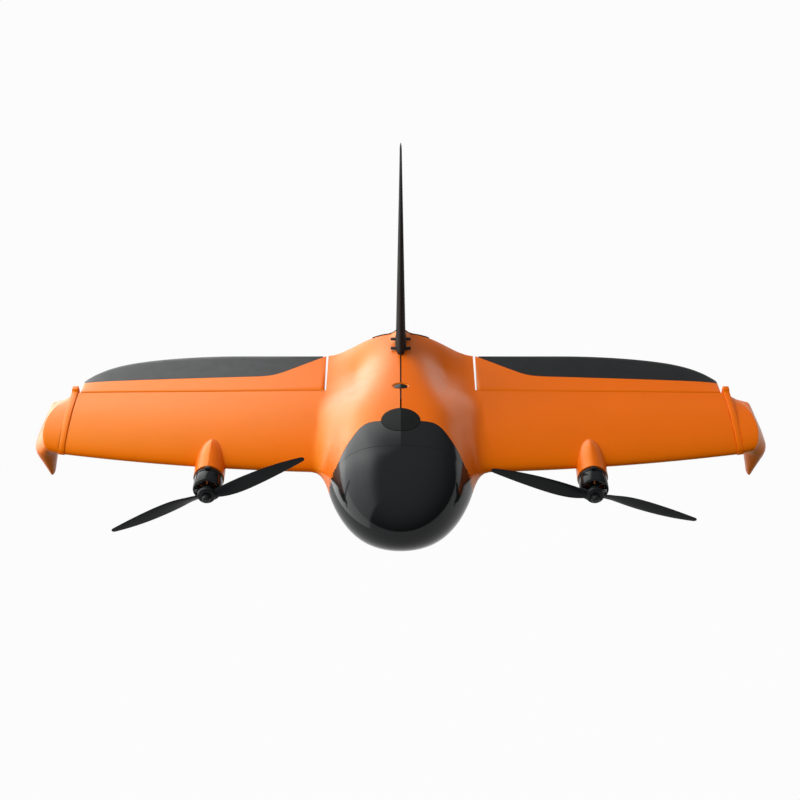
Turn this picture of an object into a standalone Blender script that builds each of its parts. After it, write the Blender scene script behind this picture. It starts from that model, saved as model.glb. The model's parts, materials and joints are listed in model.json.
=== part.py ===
"""Fixed wing survey drone: a tail sitting flying wing with twin motors, built piece by piece.

The wing frame puts y = 0 on the elevon hinge line with +y aft, z = 0 on the chord plane, and x along
the span.  The aircraft's left wing is on +X and its nose points to -Y.  An empty carries the whole
airframe so that the belly rests on z = 0.
"""
import math

import bmesh
import bpy
from mathutils import Vector

# General fits and walls, in metres
FIT = 0.0003
CAVITY_WALL = 0.007
SEGMENTS = 24
ROUND_SEGMENTS = 40

# Wing plan: leading edge, trailing edge and elevon hinge line at y = 0
HALF_SPAN = 0.625
TIP_LENGTH = 0.0605
SEAM_X = HALF_SPAN - TIP_LENGTH
WING_ROOT_X = 0.154
LE_ROOT_Y = -0.2115
LE_SWEEP = 0.0162
LE_BOW = 0.0305
TE_ROOT_Y = 0.1234
TE_BEND_X = 0.29
TE_SWEEP = 0.042
TE_ROUND = 0.0365
TE_HALF = 0.0012

# Wing thickness: share of the chord at root and tip, and the half thickness on the hinge line
THICK_ROOT = 0.12
THICK_TIP = 0.10
UPPER_SHARE = 0.55
MAX_THICK_AT = 0.30
HINGE_HALF_ROOT = 0.0145
HINGE_HALF_TIP = 0.0100

# Fuselage blended into the wing
NOSE_Y = -0.204
NOSE_LENGTH = 0.187
NOSE_HALF_WIDTH = 0.1245
FILLET_X = 0.1178
CREST_FRONT = 0.088
CREST_TAIL = 0.0504
CREST_TAIL_SLOPE = -0.145
BELLY_DEPTH = 0.0825
BELLY_FLAT = 0.0785
BELLY_REAR_Y = -0.02
BELLY_TAIL = 0.022
BELLY_TAIL_SLOPE = -0.22
HUMP_HALF_WIDTH = 0.1345
HUMP_POWER_NOSE = 2.4
HUMP_POWER_TAIL = 1.35
BELLY_POWER = 2.2
RIDGE_FALL = 0.12
FAIRING_HEIGHT = 0.0105
FAIRING_HALF = 0.020
FAIRING_START_Y = 0.070

# Nose pieces and hatch
DOME_Y = -0.251
HATCH_REAR_Y = -0.186
HATCH_REAR_HALF = 0.0595
HATCH_CORNER = 0.014
HATCH_SIDE = (0.0915, -0.2295)
NOSE_SIDE = (0.1165, -0.272)
HATCH_SPLIT_Z = 0.0
HATCH_LIFT_CLEAR = 0.0006

# Centre seam between the two half shells
SEAM_HALF_GAP = 0.0013
GASKET_HALF = 0.0009
GASKET_INSET = 0.0016

# Space for the equipment
CAVITY_HALF = 0.088
CAVITY_REAR_Y = 0.085

# Latch pad and power button, both let into the top skin
LATCH_RADIUS = 0.032
LATCH_Y = -0.184
LATCH_TRAVEL = 0.002
LATCH_DEPTH = 0.005
LATCH_PROUD = 0.0006
BUTTON_RADIUS = 0.0115
BUTTON_Y = -0.0785
BUTTON_TRAVEL = 0.0015
BUTTON_DEPTH = 0.0045
BUTTON_PROUD = 0.0006
BUTTON_ASPECT = 0.72
BEZEL_WIDTH = 0.0022
PRESS_GAP = 0.0004

# Elevons, and the border of their black trailing strips
ELEVON_IN = 0.1348
ELEVON_END_GAP = 0.0032
ELEVON_OUT = SEAM_X - ELEVON_END_GAP
ELEVON_GAP = 0.004
COVE_GAP = 0.0008
EDGE_IN_Y = 0.0475
EDGE_OUT_Y = 0.0350
EDGE_RAMP = 0.80
EDGE_SOFT = 0.006
EDGE_MIN = 0.004
SERVO_SIZE = (0.032, 0.022, 0.020)
SERVO_BEVEL = 0.001
SERVO_SHAFT_RADIUS = 0.004
SERVO_SHAFT_LENGTH = 0.018
PIN_RADIUS = 0.003
PIN_LENGTH = 0.024

# Wing tip
RIB_WIDTH = 0.012
RIB_REAR_Y = 0.012
RIB_PROUD = 0.0006
RIB_NUB_HEIGHT = 0.003
RIB_NUB_LENGTH = 0.014
WINGLET_BEVEL = 0.0165
WINGLET_LEAN = 0.027
WINGLET_CREASE_FALL = 0.002
WINGLET_LEG_INSET = 0.009
WINGLET_SHOULDER_Z = -0.016
WINGLET_REAR_BEVEL = 0.005
WINGLET_DROP = 0.0665
WINGLET_ROOT_REAR_Y = -0.003
WINGLET_CREASE_REAR_Y = -0.021
WINGLET_SHOULDER_REAR_Y = -0.062
WINGLET_TOE_REAR_Y = -0.100
WINGLET_CREASE_SWEEP = 0.010
WINGLET_SHOULDER_SWEEP = 0.016
WINGLET_TOE_SWEEP = 0.025
WINGLET_TOE_HALF = 0.004
WINGLET_TAPER = 0.85
WINGLET_THICK_AT = 0.35

# Motors and propellers, one on each wing with its axis along Y
MOTOR_X = 0.3173
MOTOR_Z = -0.003
NACELLE_RADIUS = 0.0255
NACELLE_FRONT_Y = -0.2275
NACELLE_LENGTH = 0.090
NACELLE_POWER = 4.0
NACELLE_END_SHARE = 0.98
NACELLE_RIDGE_SHARE = 0.08
NACELLE_RISE_SHARE = 0.30
MOUNT_RADIUS = 0.0242
MOUNT_THICK = 0.0062
MOUNT_NUB = 0.0030
STATOR_RADIUS = 0.0185
STATOR_LENGTH = 0.0205
BELL_RADIUS = 0.02375
BELL_WALL = 0.0032
BELL_LENGTH = 0.0245
BELL_PLATE = 0.004
BOSS_RADIUS = 0.0085
BOSS_LENGTH = 0.0065
SHAFT_RADIUS = 0.0030
PROP_RADIUS = 0.1790
PROP_HUB_RADIUS = 0.0150
PROP_HUB_THICK = 0.0100
PROP_PITCH = 0.10
BLADE_CHORD = 0.0245
BLADE_TIP_CHORD = 0.0070
BLADE_BOW = 0.0042
BLADE_THICK_SHARE = 0.11
BLADE_WIDEST_SHARE = 0.4
BLADE_ANGLE_LEFT = math.radians(17.1)
BLADE_ANGLE_RIGHT = math.radians(-25.2)
NUT_RADIUS = 0.0080
NUT_LENGTH = 0.0100

# Fin, its pedestal, and the tail bumper
FIN_ROOT_LE_Y = 0.0355
FIN_ROOT_TE_Y = 0.156
FIN_TIP_LE_Y = 0.118
FIN_TIP_TE_Y = 0.160
FIN_ROOT_Z = 0.0680
FIN_TIP_Z = 0.414
FIN_ROOT_HALF = 0.0088
FIN_TIP_HALF = 0.0018
PEDESTAL_MARGIN = 0.0012
CLIP_STATIONS = (0.19, 0.45)
CLIP_LENGTH = 0.006
CLIP_THICK = 0.0030
CLIP_REACH = 0.0090
CLIP_STAND = 0.0008
BUMPER_HALF = 0.051
BUMPER_REAR_Y = 0.160
BUMPER_PROUD = 0.0008
BUMPER_FLAT_HALF = 0.030
BUMPER_ROUND = 0.012
BUMPER_LIP = 0.0018
BUMPER_FALL = 0.038
BUMPER_RISE = 0.010

# Belly plate, spar and equipment
PLATE_HALF = 0.046
PLATE_THICK = 0.004
PLATE_FRONT_Y = -0.178
PLATE_REAR_Y = -0.024
SPAR_RADIUS = 0.008
SPAR_WALL = 0.0012
SPAR_HALF_LENGTH = 0.300
SPAR_Y = -0.105
TRAY_THICK = 0.002
TRAY_HALF = 0.044
BATTERY_SIZE = (0.037, 0.105, 0.044)
BATTERY_FRONT_Y = -0.172
CONTROLLER_SIZE = (0.044, 0.030, 0.013)
CONTROLLER_FRONT_Y = -0.058
GPS_SIZE = (0.036, 0.026, 0.009)
CAMERA_SIZE = (0.058, 0.050, 0.046)
CAMERA_Y = -0.222
LENS_RADIUS = 0.0160
WINDOW_RADIUS = 0.0170
WINDOW_THICK = 0.0016

for leftover in list(bpy.data.objects):
    bpy.data.objects.remove(leftover)


# Shape functions of the blended wing body

def clamp(value, low, high):
    return max(low, min(high, value))


def smooth(share):
    share = clamp(share, 0.0, 1.0)
    return share * share * (3.0 - 2.0 * share)


def hermite(at, start, end, start_value, end_value, start_slope, end_slope):
    span = end - start
    u = clamp((at - start) / span, 0.0, 1.0)
    bend_in = u * (1.0 - u) ** 2 * span * start_slope
    bend_out = u * u * (u - 1.0) * span * end_slope
    return start_value + (end_value - start_value) * smooth(u) + bend_in + bend_out


def wing_leading_edge(x):
    out = max(0.0, abs(x) - WING_ROOT_X) / (SEAM_X - WING_ROOT_X)
    return LE_ROOT_Y + LE_SWEEP * out + LE_BOW * out * out


def nose_leading_edge(x):
    return NOSE_Y - NOSE_LENGTH * math.sqrt(1.0 - (x / NOSE_HALF_WIDTH) ** 2)


def leading_edge(x):
    """Plan outline: the nose ellipse, a fillet, and the curved wing leading edge."""
    x = abs(x)
    if x <= FILLET_X:
        return nose_leading_edge(x)
    if x >= WING_ROOT_X:
        return wing_leading_edge(x)
    rise = math.sqrt(1.0 - (FILLET_X / NOSE_HALF_WIDTH) ** 2)
    slope = NOSE_LENGTH * FILLET_X / (NOSE_HALF_WIDTH ** 2 * rise)
    start = nose_leading_edge(FILLET_X)
    wing_slope = LE_SWEEP / (SEAM_X - WING_ROOT_X)
    return hermite(x, FILLET_X, WING_ROOT_X, start, LE_ROOT_Y, slope, wing_slope)


def trailing_edge(x):
    out = clamp((abs(x) - TE_BEND_X) / (ELEVON_OUT - TE_BEND_X), 0.0, 1.0)
    return TE_ROOT_Y - TE_SWEEP * out ** 2 - TE_ROUND * out ** 8


def hinge_half(x):
    share = (abs(x) - ELEVON_IN) / (SEAM_X - ELEVON_IN)
    return HINGE_HALF_ROOT + (HINGE_HALF_TIP - HINGE_HALF_ROOT) * clamp(share, 0.0, 1.2)


def thickest_y(x):
    """Where the section is thickest: the nose station inboard, 30 % chord on the wing."""
    front = wing_leading_edge(x)
    wing = front + MAX_THICK_AT * (TE_ROOT_Y - front)
    inner = 0.75 * NOSE_HALF_WIDTH
    return NOSE_Y + (wing - NOSE_Y) * smooth((abs(x) - inner) / (WING_ROOT_X - inner))


def wing_half_thickness(x, y, share):
    front = wing_leading_edge(x)
    chord = TE_ROOT_Y - front
    out = clamp(abs(x) / SEAM_X, 0.0, 1.2)
    most = share * chord * (THICK_ROOT + (THICK_TIP - THICK_ROOT) * out)
    half = hinge_half(x)
    slope = (TE_HALF - half) / TE_ROOT_Y
    if y > 0.0:
        return half + slope * y
    return hermite(y, front + MAX_THICK_AT * chord, 0.0, most, half, 0.0, slope)


def hump(x, power):
    reach = abs(x) / HUMP_HALF_WIDTH
    return 0.5 + 0.5 * math.cos(math.pi * min(1.0, reach) ** power)


def front_rounding(x, y):
    crest = thickest_y(x)
    if y >= crest:
        return 1.0
    return math.sqrt(max(0.0, 1.0 - ((crest - y) / (crest - leading_edge(x))) ** 2))


def upper_z(x, y):
    wing = wing_half_thickness(x, y, UPPER_SHARE)
    crest = hermite(y, NOSE_Y, TE_ROOT_Y, CREST_FRONT, CREST_TAIL, 0.0, CREST_TAIL_SLOPE)
    crest *= 1.0 - RIDGE_FALL * min(1.0, abs(x) / HUMP_HALF_WIDTH)
    aft = clamp((y - NOSE_Y) / (TE_ROOT_Y - NOSE_Y), 0.0, 1.0)
    lift = hump(x, HUMP_POWER_NOSE + (HUMP_POWER_TAIL - HUMP_POWER_NOSE) * aft)
    return (wing + (crest - wing) * lift) * front_rounding(x, y) + fin_fairing(x, y)


def fin_fairing(x, y):
    """The skin swells up to the sides of the fin towards the tail."""
    beside = 0.5 + 0.5 * math.cos(math.pi * min(1.0, abs(x) / FAIRING_HALF))
    return FAIRING_HEIGHT * beside * smooth((y - FAIRING_START_Y) / (TE_ROOT_Y - FAIRING_START_Y))


def lower_z(x, y):
    wing = wing_half_thickness(x, y, 1.0 - UPPER_SHARE)
    keel = hermite(y, BELLY_REAR_Y, TE_ROOT_Y, BELLY_DEPTH, BELLY_TAIL, 0.0, BELLY_TAIL_SLOPE)
    deep = (wing + (keel - wing) * hump(x, BELLY_POWER)) * front_rounding(x, y)
    return -min(deep, BELLY_FLAT)


def spaced(first, last, steps):
    return [first + (last - first) * i / steps for i in range(steps + 1)]


def chord_stations(x, front, rear, front_steps=8, middle_steps=6, tail_steps=4):
    """Stations along a section, close together round the leading edge and beside the fin."""
    crest = max(thickest_y(x), front + 0.2 * (rear - front))
    knee = min(FAIRING_START_Y, 0.5 * (crest + rear))
    angles = spaced(0.0, 0.5 * math.pi, front_steps)
    nose = [crest - (crest - front) * math.cos(angle) for angle in angles]
    return nose + spaced(crest, knee, middle_steps)[1:] + spaced(knee, rear, tail_steps)[1:]


def body_loop(x, rear, grow=0.0):
    """One closed section of the blended body at x, from its leading edge to rear."""
    stations = chord_stations(x, leading_edge(x), rear)
    upper = [(x, y, upper_z(x, y) + grow) for y in stations]
    lower = [(x, y, lower_z(x, y) - grow) for y in stations]
    if grow:
        upper = [(x, y - grow * front_rounding_share(x, y), z) for x, y, z in upper]
        lower = [(x, y - grow * front_rounding_share(x, y), z) for x, y, z in lower]
        return upper + lower[::-1]
    return upper + lower[:0:-1]


def front_rounding_share(x, y):
    return 1.0 - front_rounding(x, y)


# Mesh helpers

def material(name, colour, roughness, metallic=0.0):
    made = bpy.data.materials.new(name)
    made.use_nodes = True
    shader = made.node_tree.nodes["Principled BSDF"]
    shader.inputs["Base Color"].default_value = (*colour, 1.0)
    shader.inputs["Roughness"].default_value = roughness
    shader.inputs["Metallic"].default_value = metallic
    made.diffuse_color = (*colour, 1.0)
    return made


ORANGE = material("orange_skin", (0.86, 0.21, 0.02), 0.42)
BLACK_GLOSS = material("black_gloss", (0.012, 0.014, 0.016), 0.22)
BLACK_MATT = material("black_matt", (0.02, 0.022, 0.024), 0.5)
RUBBER = material("rubber", (0.015, 0.015, 0.016), 0.8)
CARBON = material("carbon", (0.02, 0.02, 0.022), 0.35)
STEEL = material("steel", (0.55, 0.56, 0.58), 0.3, 1.0)
COPPER = material("copper", (0.72, 0.35, 0.15), 0.4, 1.0)
WRAP = material("battery_wrap", (0.05, 0.10, 0.22), 0.5)
BOARD = material("circuit_case", (0.06, 0.07, 0.08), 0.55)
GLASS = material("glass", (0.05, 0.06, 0.07), 0.08)

AIRFRAME = bpy.data.objects.new("airframe", None)
bpy.context.scene.collection.objects.link(AIRFRAME)
AIRFRAME.location = (0.0, -0.5 * (BUMPER_REAR_Y + NOSE_Y - NOSE_LENGTH), BELLY_FLAT + FIT + PLATE_THICK)


def make_object(name, bm, finish, smooth_angle=35.0):
    bmesh.ops.remove_doubles(bm, verts=bm.verts, dist=1e-6)
    bmesh.ops.recalc_face_normals(bm, faces=bm.faces)
    mesh = bpy.data.meshes.new(name)
    bm.to_mesh(mesh)
    bm.free()
    mesh.shade_smooth()
    mesh.set_sharp_from_angle(angle=math.radians(smooth_angle))
    mesh.materials.append(finish)
    made = bpy.data.objects.new(name, mesh)
    bpy.context.scene.collection.objects.link(made)
    return made


def place(piece, location=(0.0, 0.0, 0.0), turn=0.0):
    """Hang a finished piece on the airframe, turned about its own Y axis."""
    piece.parent = AIRFRAME
    piece.location = location
    piece.rotation_euler = (0.0, turn, 0.0)
    return piece


def loft(name, loops, finish=ORANGE):
    bm = bmesh.new()
    rings = [[bm.verts.new(point) for point in loop] for loop in loops]
    count = len(rings[0])
    for near, far in zip(rings, rings[1:]):
        for i in range(count):
            j = (i + 1) % count
            bm.faces.new((near[i], near[j], far[j], far[i]))
    bm.faces.new(rings[0])
    bm.faces.new(rings[-1][::-1])
    return make_object(name, bm, finish)


def turned(name, profile, axis, finish, centre=(0.0, 0.0, 0.0), segments=SEGMENTS):
    """Revolve a closed profile of (radius, along) points round the X, Y or Z axis."""
    middle = Vector(centre)
    bm = bmesh.new()
    rings = []
    for step in range(segments):
        angle = 2.0 * math.pi * step / segments
        c = math.cos(angle)
        s = math.sin(angle)
        ring = []
        for radius, along in profile:
            spot = {"X": (along, radius * c, radius * s),
                    "Y": (radius * c, along, radius * s),
                    "Z": (radius * c, radius * s, along)}[axis]
            ring.append(bm.verts.new(middle + Vector(spot)))
        rings.append(ring)
    count = len(profile)
    for step in range(segments):
        near = rings[step]
        far = rings[(step + 1) % segments]
        for i in range(count):
            j = (i + 1) % count
            if profile[i][0] < 1e-7 and profile[j][0] < 1e-7:
                continue
            bm.faces.new((near[i], near[j], far[j], far[i]))
    bmesh.ops.remove_doubles(bm, verts=bm.verts, dist=1e-6)
    bmesh.ops.dissolve_degenerate(bm, edges=bm.edges, dist=1e-7)
    return make_object(name, bm, finish)


def rod(name, radius, start, end, axis, finish, centre=(0.0, 0.0, 0.0), segments=SEGMENTS):
    profile = [(0.0, start), (radius, start), (radius, end), (0.0, end)]
    return turned(name, profile, axis, finish, centre, segments)


def prism(name, outline, low, high, finish=ORANGE):
    """Extrude a plan outline of (x, y) points from z = low to z = high."""
    return loft(name, [[(x, y, z) for x, y in outline] for z in (low, high)], finish)


def block(name, low, high, finish, round_off=0.0):
    outline = [(low[0], low[1]), (high[0], low[1]), (high[0], high[1]), (low[0], high[1])]
    made = prism(name, outline, low[2], high[2], finish)
    if round_off:
        bevel = made.modifiers.new("edges", "BEVEL")
        bevel.width = round_off
        bevel.segments = 2
        apply_modifiers(made)
    return made


def apply_modifiers(piece):
    bpy.context.view_layer.update()
    evaluated = piece.evaluated_get(bpy.context.evaluated_depsgraph_get())
    mesh = bpy.data.meshes.new_from_object(evaluated)
    piece.modifiers.clear()
    piece.data = mesh


def combine(piece, tool, operation="DIFFERENCE"):
    """Apply one Boolean to a piece and throw its tool away."""
    change = piece.modifiers.new("combine", "BOOLEAN")
    change.operation = operation
    change.solver = "EXACT"
    change.object = tool
    apply_modifiers(piece)
    bpy.data.objects.remove(tool)
    return piece


# Shared cutters

def mirrored(half_outline):
    """Close a plan outline given for x > 0, ordered from the rear centre to the front."""
    return half_outline + [(-x, y) for x, y in reversed(half_outline)]


def rounded(before, corner, after, cut, steps=4):
    """Points of a soft corner, as a quadratic curve that starts cut away from it."""
    corner = Vector(corner)
    start = corner + (Vector(before) - corner).normalized() * cut
    end = corner + (Vector(after) - corner).normalized() * cut
    points = []
    for u in spaced(0.0, 1.0, steps):
        point = start.lerp(corner, u).lerp(corner.lerp(end, u), u)
        points.append((point.x, point.y))
    return points


def nose_prism(grow):
    """The plan outline that parts the black nose pieces from the half shells."""
    rear = (0.0, HATCH_REAR_Y)
    corner = (HATCH_REAR_HALF, HATCH_REAR_Y)
    half = rounded(rear, corner, HATCH_SIDE, HATCH_CORNER)
    half += rounded(corner, HATCH_SIDE, NOSE_SIDE, HATCH_CORNER)
    half += [NOSE_SIDE, (NOSE_HALF_WIDTH, NOSE_Y - NOSE_LENGTH)]
    half += [(NOSE_HALF_WIDTH, NOSE_Y - 1.2 * NOSE_LENGTH)]
    outline = mirrored([(x + grow, y + grow) for x, y in half])
    return prism("nose_prism", outline, -2.0 * BELLY_DEPTH, 2.0 * CREST_FRONT)


def cavity():
    """The room inside the nose and fuselage, one wall thickness in from the skin."""
    loops = []
    for x in spaced(-CAVITY_HALF, CAVITY_HALF, 12):
        front = leading_edge(x) + CAVITY_WALL
        stations = chord_stations(x, front, CAVITY_REAR_Y, 6, 3, 3)
        floor = CAVITY_WALL - BELLY_FLAT
        upper = [(x, y, upper_z(x, y) - CAVITY_WALL) for y in stations]
        lower = [(x, y, max(lower_z(x, y) + CAVITY_WALL, floor)) for y in stations]
        loops.append(upper + lower[::-1])
    return loft("cavity", loops)


def crest_z(y):
    return upper_z(0.0, y)


def oval(name, y, radius, aspect, low, high, finish):
    """An upright pin of round or oval plan on the centre line at y."""
    pin = rod(name, radius, low, high, "Z", finish, (0.0, 0.0, 0.0), ROUND_SEGMENTS)
    for vertex in pin.data.vertices:
        vertex.co.y = y + aspect * vertex.co.y
    return pin


def recess(y, radius, aspect, depth):
    floor = crest_z(y) - depth
    return oval("recess", y, radius, aspect, floor, floor + 4.0 * depth, ORANGE)


def grown_body():
    """The middle of the blended body, one fit larger all over, for parting the fin's seat from it."""
    half = body_stations()
    stations = [-x for x in reversed(half)] + half
    return loft("grown_body", [body_loop(x, TE_ROOT_Y + FIT, FIT) for x in stations])


# Half shells with their wings

def body_stations():
    """Stations from the seam to the wing root: close together beside the fin, then evening out."""
    inner = [SEAM_HALF_GAP] + spaced(0.0, FAIRING_HALF, 3)[1:]
    outer = [FAIRING_HALF + (WING_ROOT_X - FAIRING_HALF) * math.sin(0.5 * math.pi * i / 10)
             for i in range(1, 10)]
    return inner + outer


def shell_stations():
    return body_stations() + spaced(WING_ROOT_X, SEAM_X, 7)


def cove_cutter(side):
    """Everything aft of the hinge line, with a round front that clears the elevon's nose."""
    loops = []
    wide = 4.0 * HINGE_HALF_ROOT
    for x in (ELEVON_IN - ELEVON_GAP, SEAM_X, SEAM_X + RIB_WIDTH):
        radius = hinge_half(x) + COVE_GAP
        arc = [(-radius * math.sin(angle), radius * math.cos(angle))
               for angle in spaced(0.0, math.pi, 12)]
        frame = [(0.0, -wide), (2.0 * TE_ROOT_Y, -wide), (2.0 * TE_ROOT_Y, wide), (0.0, wide)]
        loops.append([(side * x, y, z) for y, z in arc + frame])
    return loft("cove", loops)


def servo_place(side):
    outer = ELEVON_IN - ELEVON_GAP - FIT
    near = side * (outer - SERVO_SIZE[0])
    far = side * outer
    return min(near, far), max(near, far)


def servo_pocket(side):
    near, far = servo_place(side)
    low = (near - FIT, -0.5 * SERVO_SIZE[1] - FIT, -0.5 * SERVO_SIZE[2] - FIT)
    high = (far + FIT, 0.5 * SERVO_SIZE[1] + FIT, 0.5 * SERVO_SIZE[2] + FIT)
    if side > 0:
        high = (far + ELEVON_GAP, high[1], high[2])
    else:
        low = (near - ELEVON_GAP, low[1], low[2])
    return block("servo_pocket", low, high, ORANGE)


def spar_bore():
    reach = SPAR_HALF_LENGTH + FIT
    return rod("spar_bore", SPAR_RADIUS + FIT, -reach, reach, "X", ORANGE, (0.0, SPAR_Y, 0.0))


def half_shell(side, name):
    loops = [body_loop(side * x, TE_ROOT_Y) for x in shell_stations()]
    shell = loft(name, loops)
    combine(shell, nose_prism(FIT))
    combine(shell, cove_cutter(side))
    combine(shell, cavity())
    combine(shell, spar_bore())
    combine(shell, servo_pocket(side))
    combine(shell, recess(LATCH_Y, LATCH_RADIUS + PRESS_GAP, 1.0, LATCH_DEPTH))
    combine(shell, recess(BUTTON_Y, bezel_radius() + 2.0 * FIT, BUTTON_ASPECT, BUTTON_DEPTH))
    return place(shell)


def bezel_radius():
    return BUTTON_RADIUS + PRESS_GAP / BUTTON_ASPECT + BEZEL_WIDTH


def seam_gasket():
    """A thin sealing ring between the half shells, let in from the skin."""
    loops = []
    front = HATCH_REAR_Y + 2.0 * LATCH_RADIUS
    for x in (-GASKET_HALF, GASKET_HALF):
        stations = spaced(front, TE_ROOT_Y - GASKET_INSET, 12)
        upper = [(x, y, upper_z(x, y) - GASKET_INSET) for y in stations]
        lower = [(x, y, lower_z(x, y) + GASKET_INSET) for y in stations]
        loops.append(upper + lower[::-1])
    gasket = loft("centre_seam_gasket", loops, RUBBER)
    combine(gasket, cavity())
    combine(gasket, recess(BUTTON_Y, bezel_radius() + 2.0 * FIT, BUTTON_ASPECT, BUTTON_DEPTH + FIT))
    return place(gasket)


# Nose pieces

def slab(front, rear, low, high):
    wide = 2.0 * NOSE_HALF_WIDTH
    return block("slab", (-wide, front, low), (wide, rear, high), BLACK_GLOSS)


def nose_piece(name, front, rear, low, high, finish):
    """A hollow piece of the nose between two Y planes and two Z planes."""
    loops = [body_loop(x, NOSE_Y + 0.5 * NOSE_LENGTH) for x in nose_stations()]
    piece = loft(name, loops, finish)
    combine(piece, nose_prism(0.0), "INTERSECT")
    combine(piece, slab(front, rear, low, high), "INTERSECT")
    combine(piece, cavity())
    return piece


def nose_stations():
    """Stations across the nose, closer together towards its sides."""
    half = [FILLET_X * math.sin(0.5 * math.pi * i / 8) for i in range(9)]
    half.append(0.5 * (FILLET_X + NOSE_HALF_WIDTH))
    return [-x for x in reversed(half[1:])] + half


def nose_pieces():
    front = NOSE_Y - 1.5 * NOSE_LENGTH
    rear = NOSE_Y + NOSE_LENGTH
    low = -2.0 * BELLY_DEPTH
    high = 2.0 * CREST_FRONT
    dome = nose_piece("nose_dome", front, DOME_Y, low, high, BLACK_GLOSS)
    hatch_front = DOME_Y + HATCH_LIFT_CLEAR
    hatch = nose_piece("nose_hatch", hatch_front, rear, HATCH_SPLIT_Z + FIT, high, BLACK_GLOSS)
    combine(hatch, recess(LATCH_Y, LATCH_RADIUS + PRESS_GAP, 1.0, LATCH_DEPTH))
    chin = nose_piece("nose_chin", DOME_Y + FIT, rear, low, HATCH_SPLIT_Z, BLACK_MATT)
    hole = rod("hole", WINDOW_RADIUS + FIT, low, HATCH_SPLIT_Z, "Z", BLACK_MATT, (0.0, CAMERA_Y, 0.0))
    combine(chin, hole)
    for piece in (dome, hatch, chin):
        place(piece)


# Pieces let into the top skin

def roof_disc(name, y, radius, aspect, bottom, proud, finish):
    """A round or oval pad whose top follows the ridged skin, standing a little proud of it."""
    disc = oval(name, y, radius, aspect, bottom, crest_z(y) + 4.0 * radius, finish)
    loops = []
    reach = 1.4 * radius
    for x in (-reach, -0.5 * reach, 0.0, 0.5 * reach, reach):
        along = spaced(y - reach, y + reach, 6)
        top = [(x, at, upper_z(x, at) + proud) for at in along]
        loops.append(top + [(x, y + reach, bottom - radius), (x, y - reach, bottom - radius)])
    return combine(disc, loft("under_skin", loops), "INTERSECT")


def latch_pad():
    bottom = crest_z(LATCH_Y) - LATCH_DEPTH + LATCH_TRAVEL + FIT
    place(roof_disc("hatch_latch", LATCH_Y, LATCH_RADIUS, 1.0, bottom, LATCH_PROUD, BLACK_GLOSS))


def power_button():
    floor = crest_z(BUTTON_Y) - BUTTON_DEPTH
    bottom = floor + BUTTON_TRAVEL + FIT
    button = roof_disc("power_button", BUTTON_Y, BUTTON_RADIUS, BUTTON_ASPECT, bottom, BUTTON_PROUD,
                       BLACK_GLOSS)
    place(button)
    outer = bezel_radius()
    bezel = roof_disc("button_bezel", BUTTON_Y, outer, BUTTON_ASPECT, floor + FIT, BUTTON_PROUD, STEEL)
    reach = 4.0 * BUTTON_DEPTH
    bore = oval("bore", BUTTON_Y, outer - BEZEL_WIDTH, BUTTON_ASPECT, floor - reach, floor + reach, STEEL)
    place(combine(bezel, bore))


# Elevons, their black edges, servos and pins

def edge_line(x):
    """Where the black trailing strip starts: nearly straight, running out to the tail inboard."""
    ramp = TE_ROOT_Y - EDGE_RAMP * (abs(x) - ELEVON_IN)
    out = (abs(x) - TE_BEND_X) / (ELEVON_OUT - TE_BEND_X)
    line = EDGE_IN_Y + (EDGE_OUT_Y - EDGE_IN_Y) * out
    return line + EDGE_SOFT * math.log(1.0 + math.exp((ramp - line) / EDGE_SOFT))


def elevon_half(x, y):
    half = hinge_half(x)
    return half + (TE_HALF - half) * clamp(y / trailing_edge(x), 0.0, 1.0)


def strip_stations():
    """Span of the black strip, where it is wide enough to make."""
    wide = [x for x in spaced(ELEVON_IN, ELEVON_OUT, 400)
            if trailing_edge(x) - edge_line(x) > EDGE_MIN]
    return spaced(wide[0], wide[-1], 16)


def elevon_stations():
    """The strip's stations and both ends, so that the two pieces share their facets."""
    return [ELEVON_IN] + strip_stations() + [ELEVON_OUT]


def elevon(side, name):
    loops = []
    for x in elevon_stations():
        radius = hinge_half(x)
        rear = min(edge_line(x), trailing_edge(x))
        nose = [(-radius * math.sin(angle), radius * math.cos(angle))
                for angle in spaced(0.0, math.pi, 10)]
        back = [(rear, -elevon_half(x, rear)), (rear, elevon_half(x, rear))]
        loops.append([(side * x, y, z) for y, z in nose + back])
    made = loft(name + "_elevon", loops)
    shaft_end = ELEVON_IN + SERVO_SHAFT_LENGTH
    shaft_hole = rod("hole", SERVO_SHAFT_RADIUS + FIT, side * (ELEVON_IN - ELEVON_GAP), side * shaft_end,
                     "X", ORANGE)
    combine(made, shaft_hole)
    pin_end = SEAM_X + RIB_WIDTH - PIN_LENGTH
    pin_hole = rod("hole", PIN_RADIUS + FIT, side * pin_end, side * SEAM_X, "X", ORANGE)
    combine(made, pin_hole)
    place(made)
    strip = []
    for x in strip_stations():
        front = edge_line(x) + FIT
        rear = trailing_edge(x)
        points = [(front, elevon_half(x, front)), (rear, TE_HALF), (rear, -TE_HALF),
                  (front, -elevon_half(x, front))]
        strip.append([(side * x, y, z) for y, z in points])
    place(loft(name + "_elevon_edge", strip, BLACK_MATT))


def elevon_drive(side, name):
    near, far = servo_place(side)
    half_y = 0.5 * SERVO_SIZE[1]
    half_z = 0.5 * SERVO_SIZE[2]
    low = (near, -half_y, -half_z)
    high = (far, half_y, half_z)
    place(block(name + "_elevon_servo", low, high, BLACK_MATT, SERVO_BEVEL))
    start = ELEVON_IN - ELEVON_GAP
    end = ELEVON_IN + SERVO_SHAFT_LENGTH - FIT
    place(rod(name + "_servo_shaft", SERVO_SHAFT_RADIUS, side * start, side * end, "X", STEEL))
    outer = SEAM_X + RIB_WIDTH
    inner = outer - PIN_LENGTH + FIT
    place(rod(name + "_elevon_pin", PIN_RADIUS, side * inner, side * outer, "X", STEEL))


# Wing tips

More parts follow.
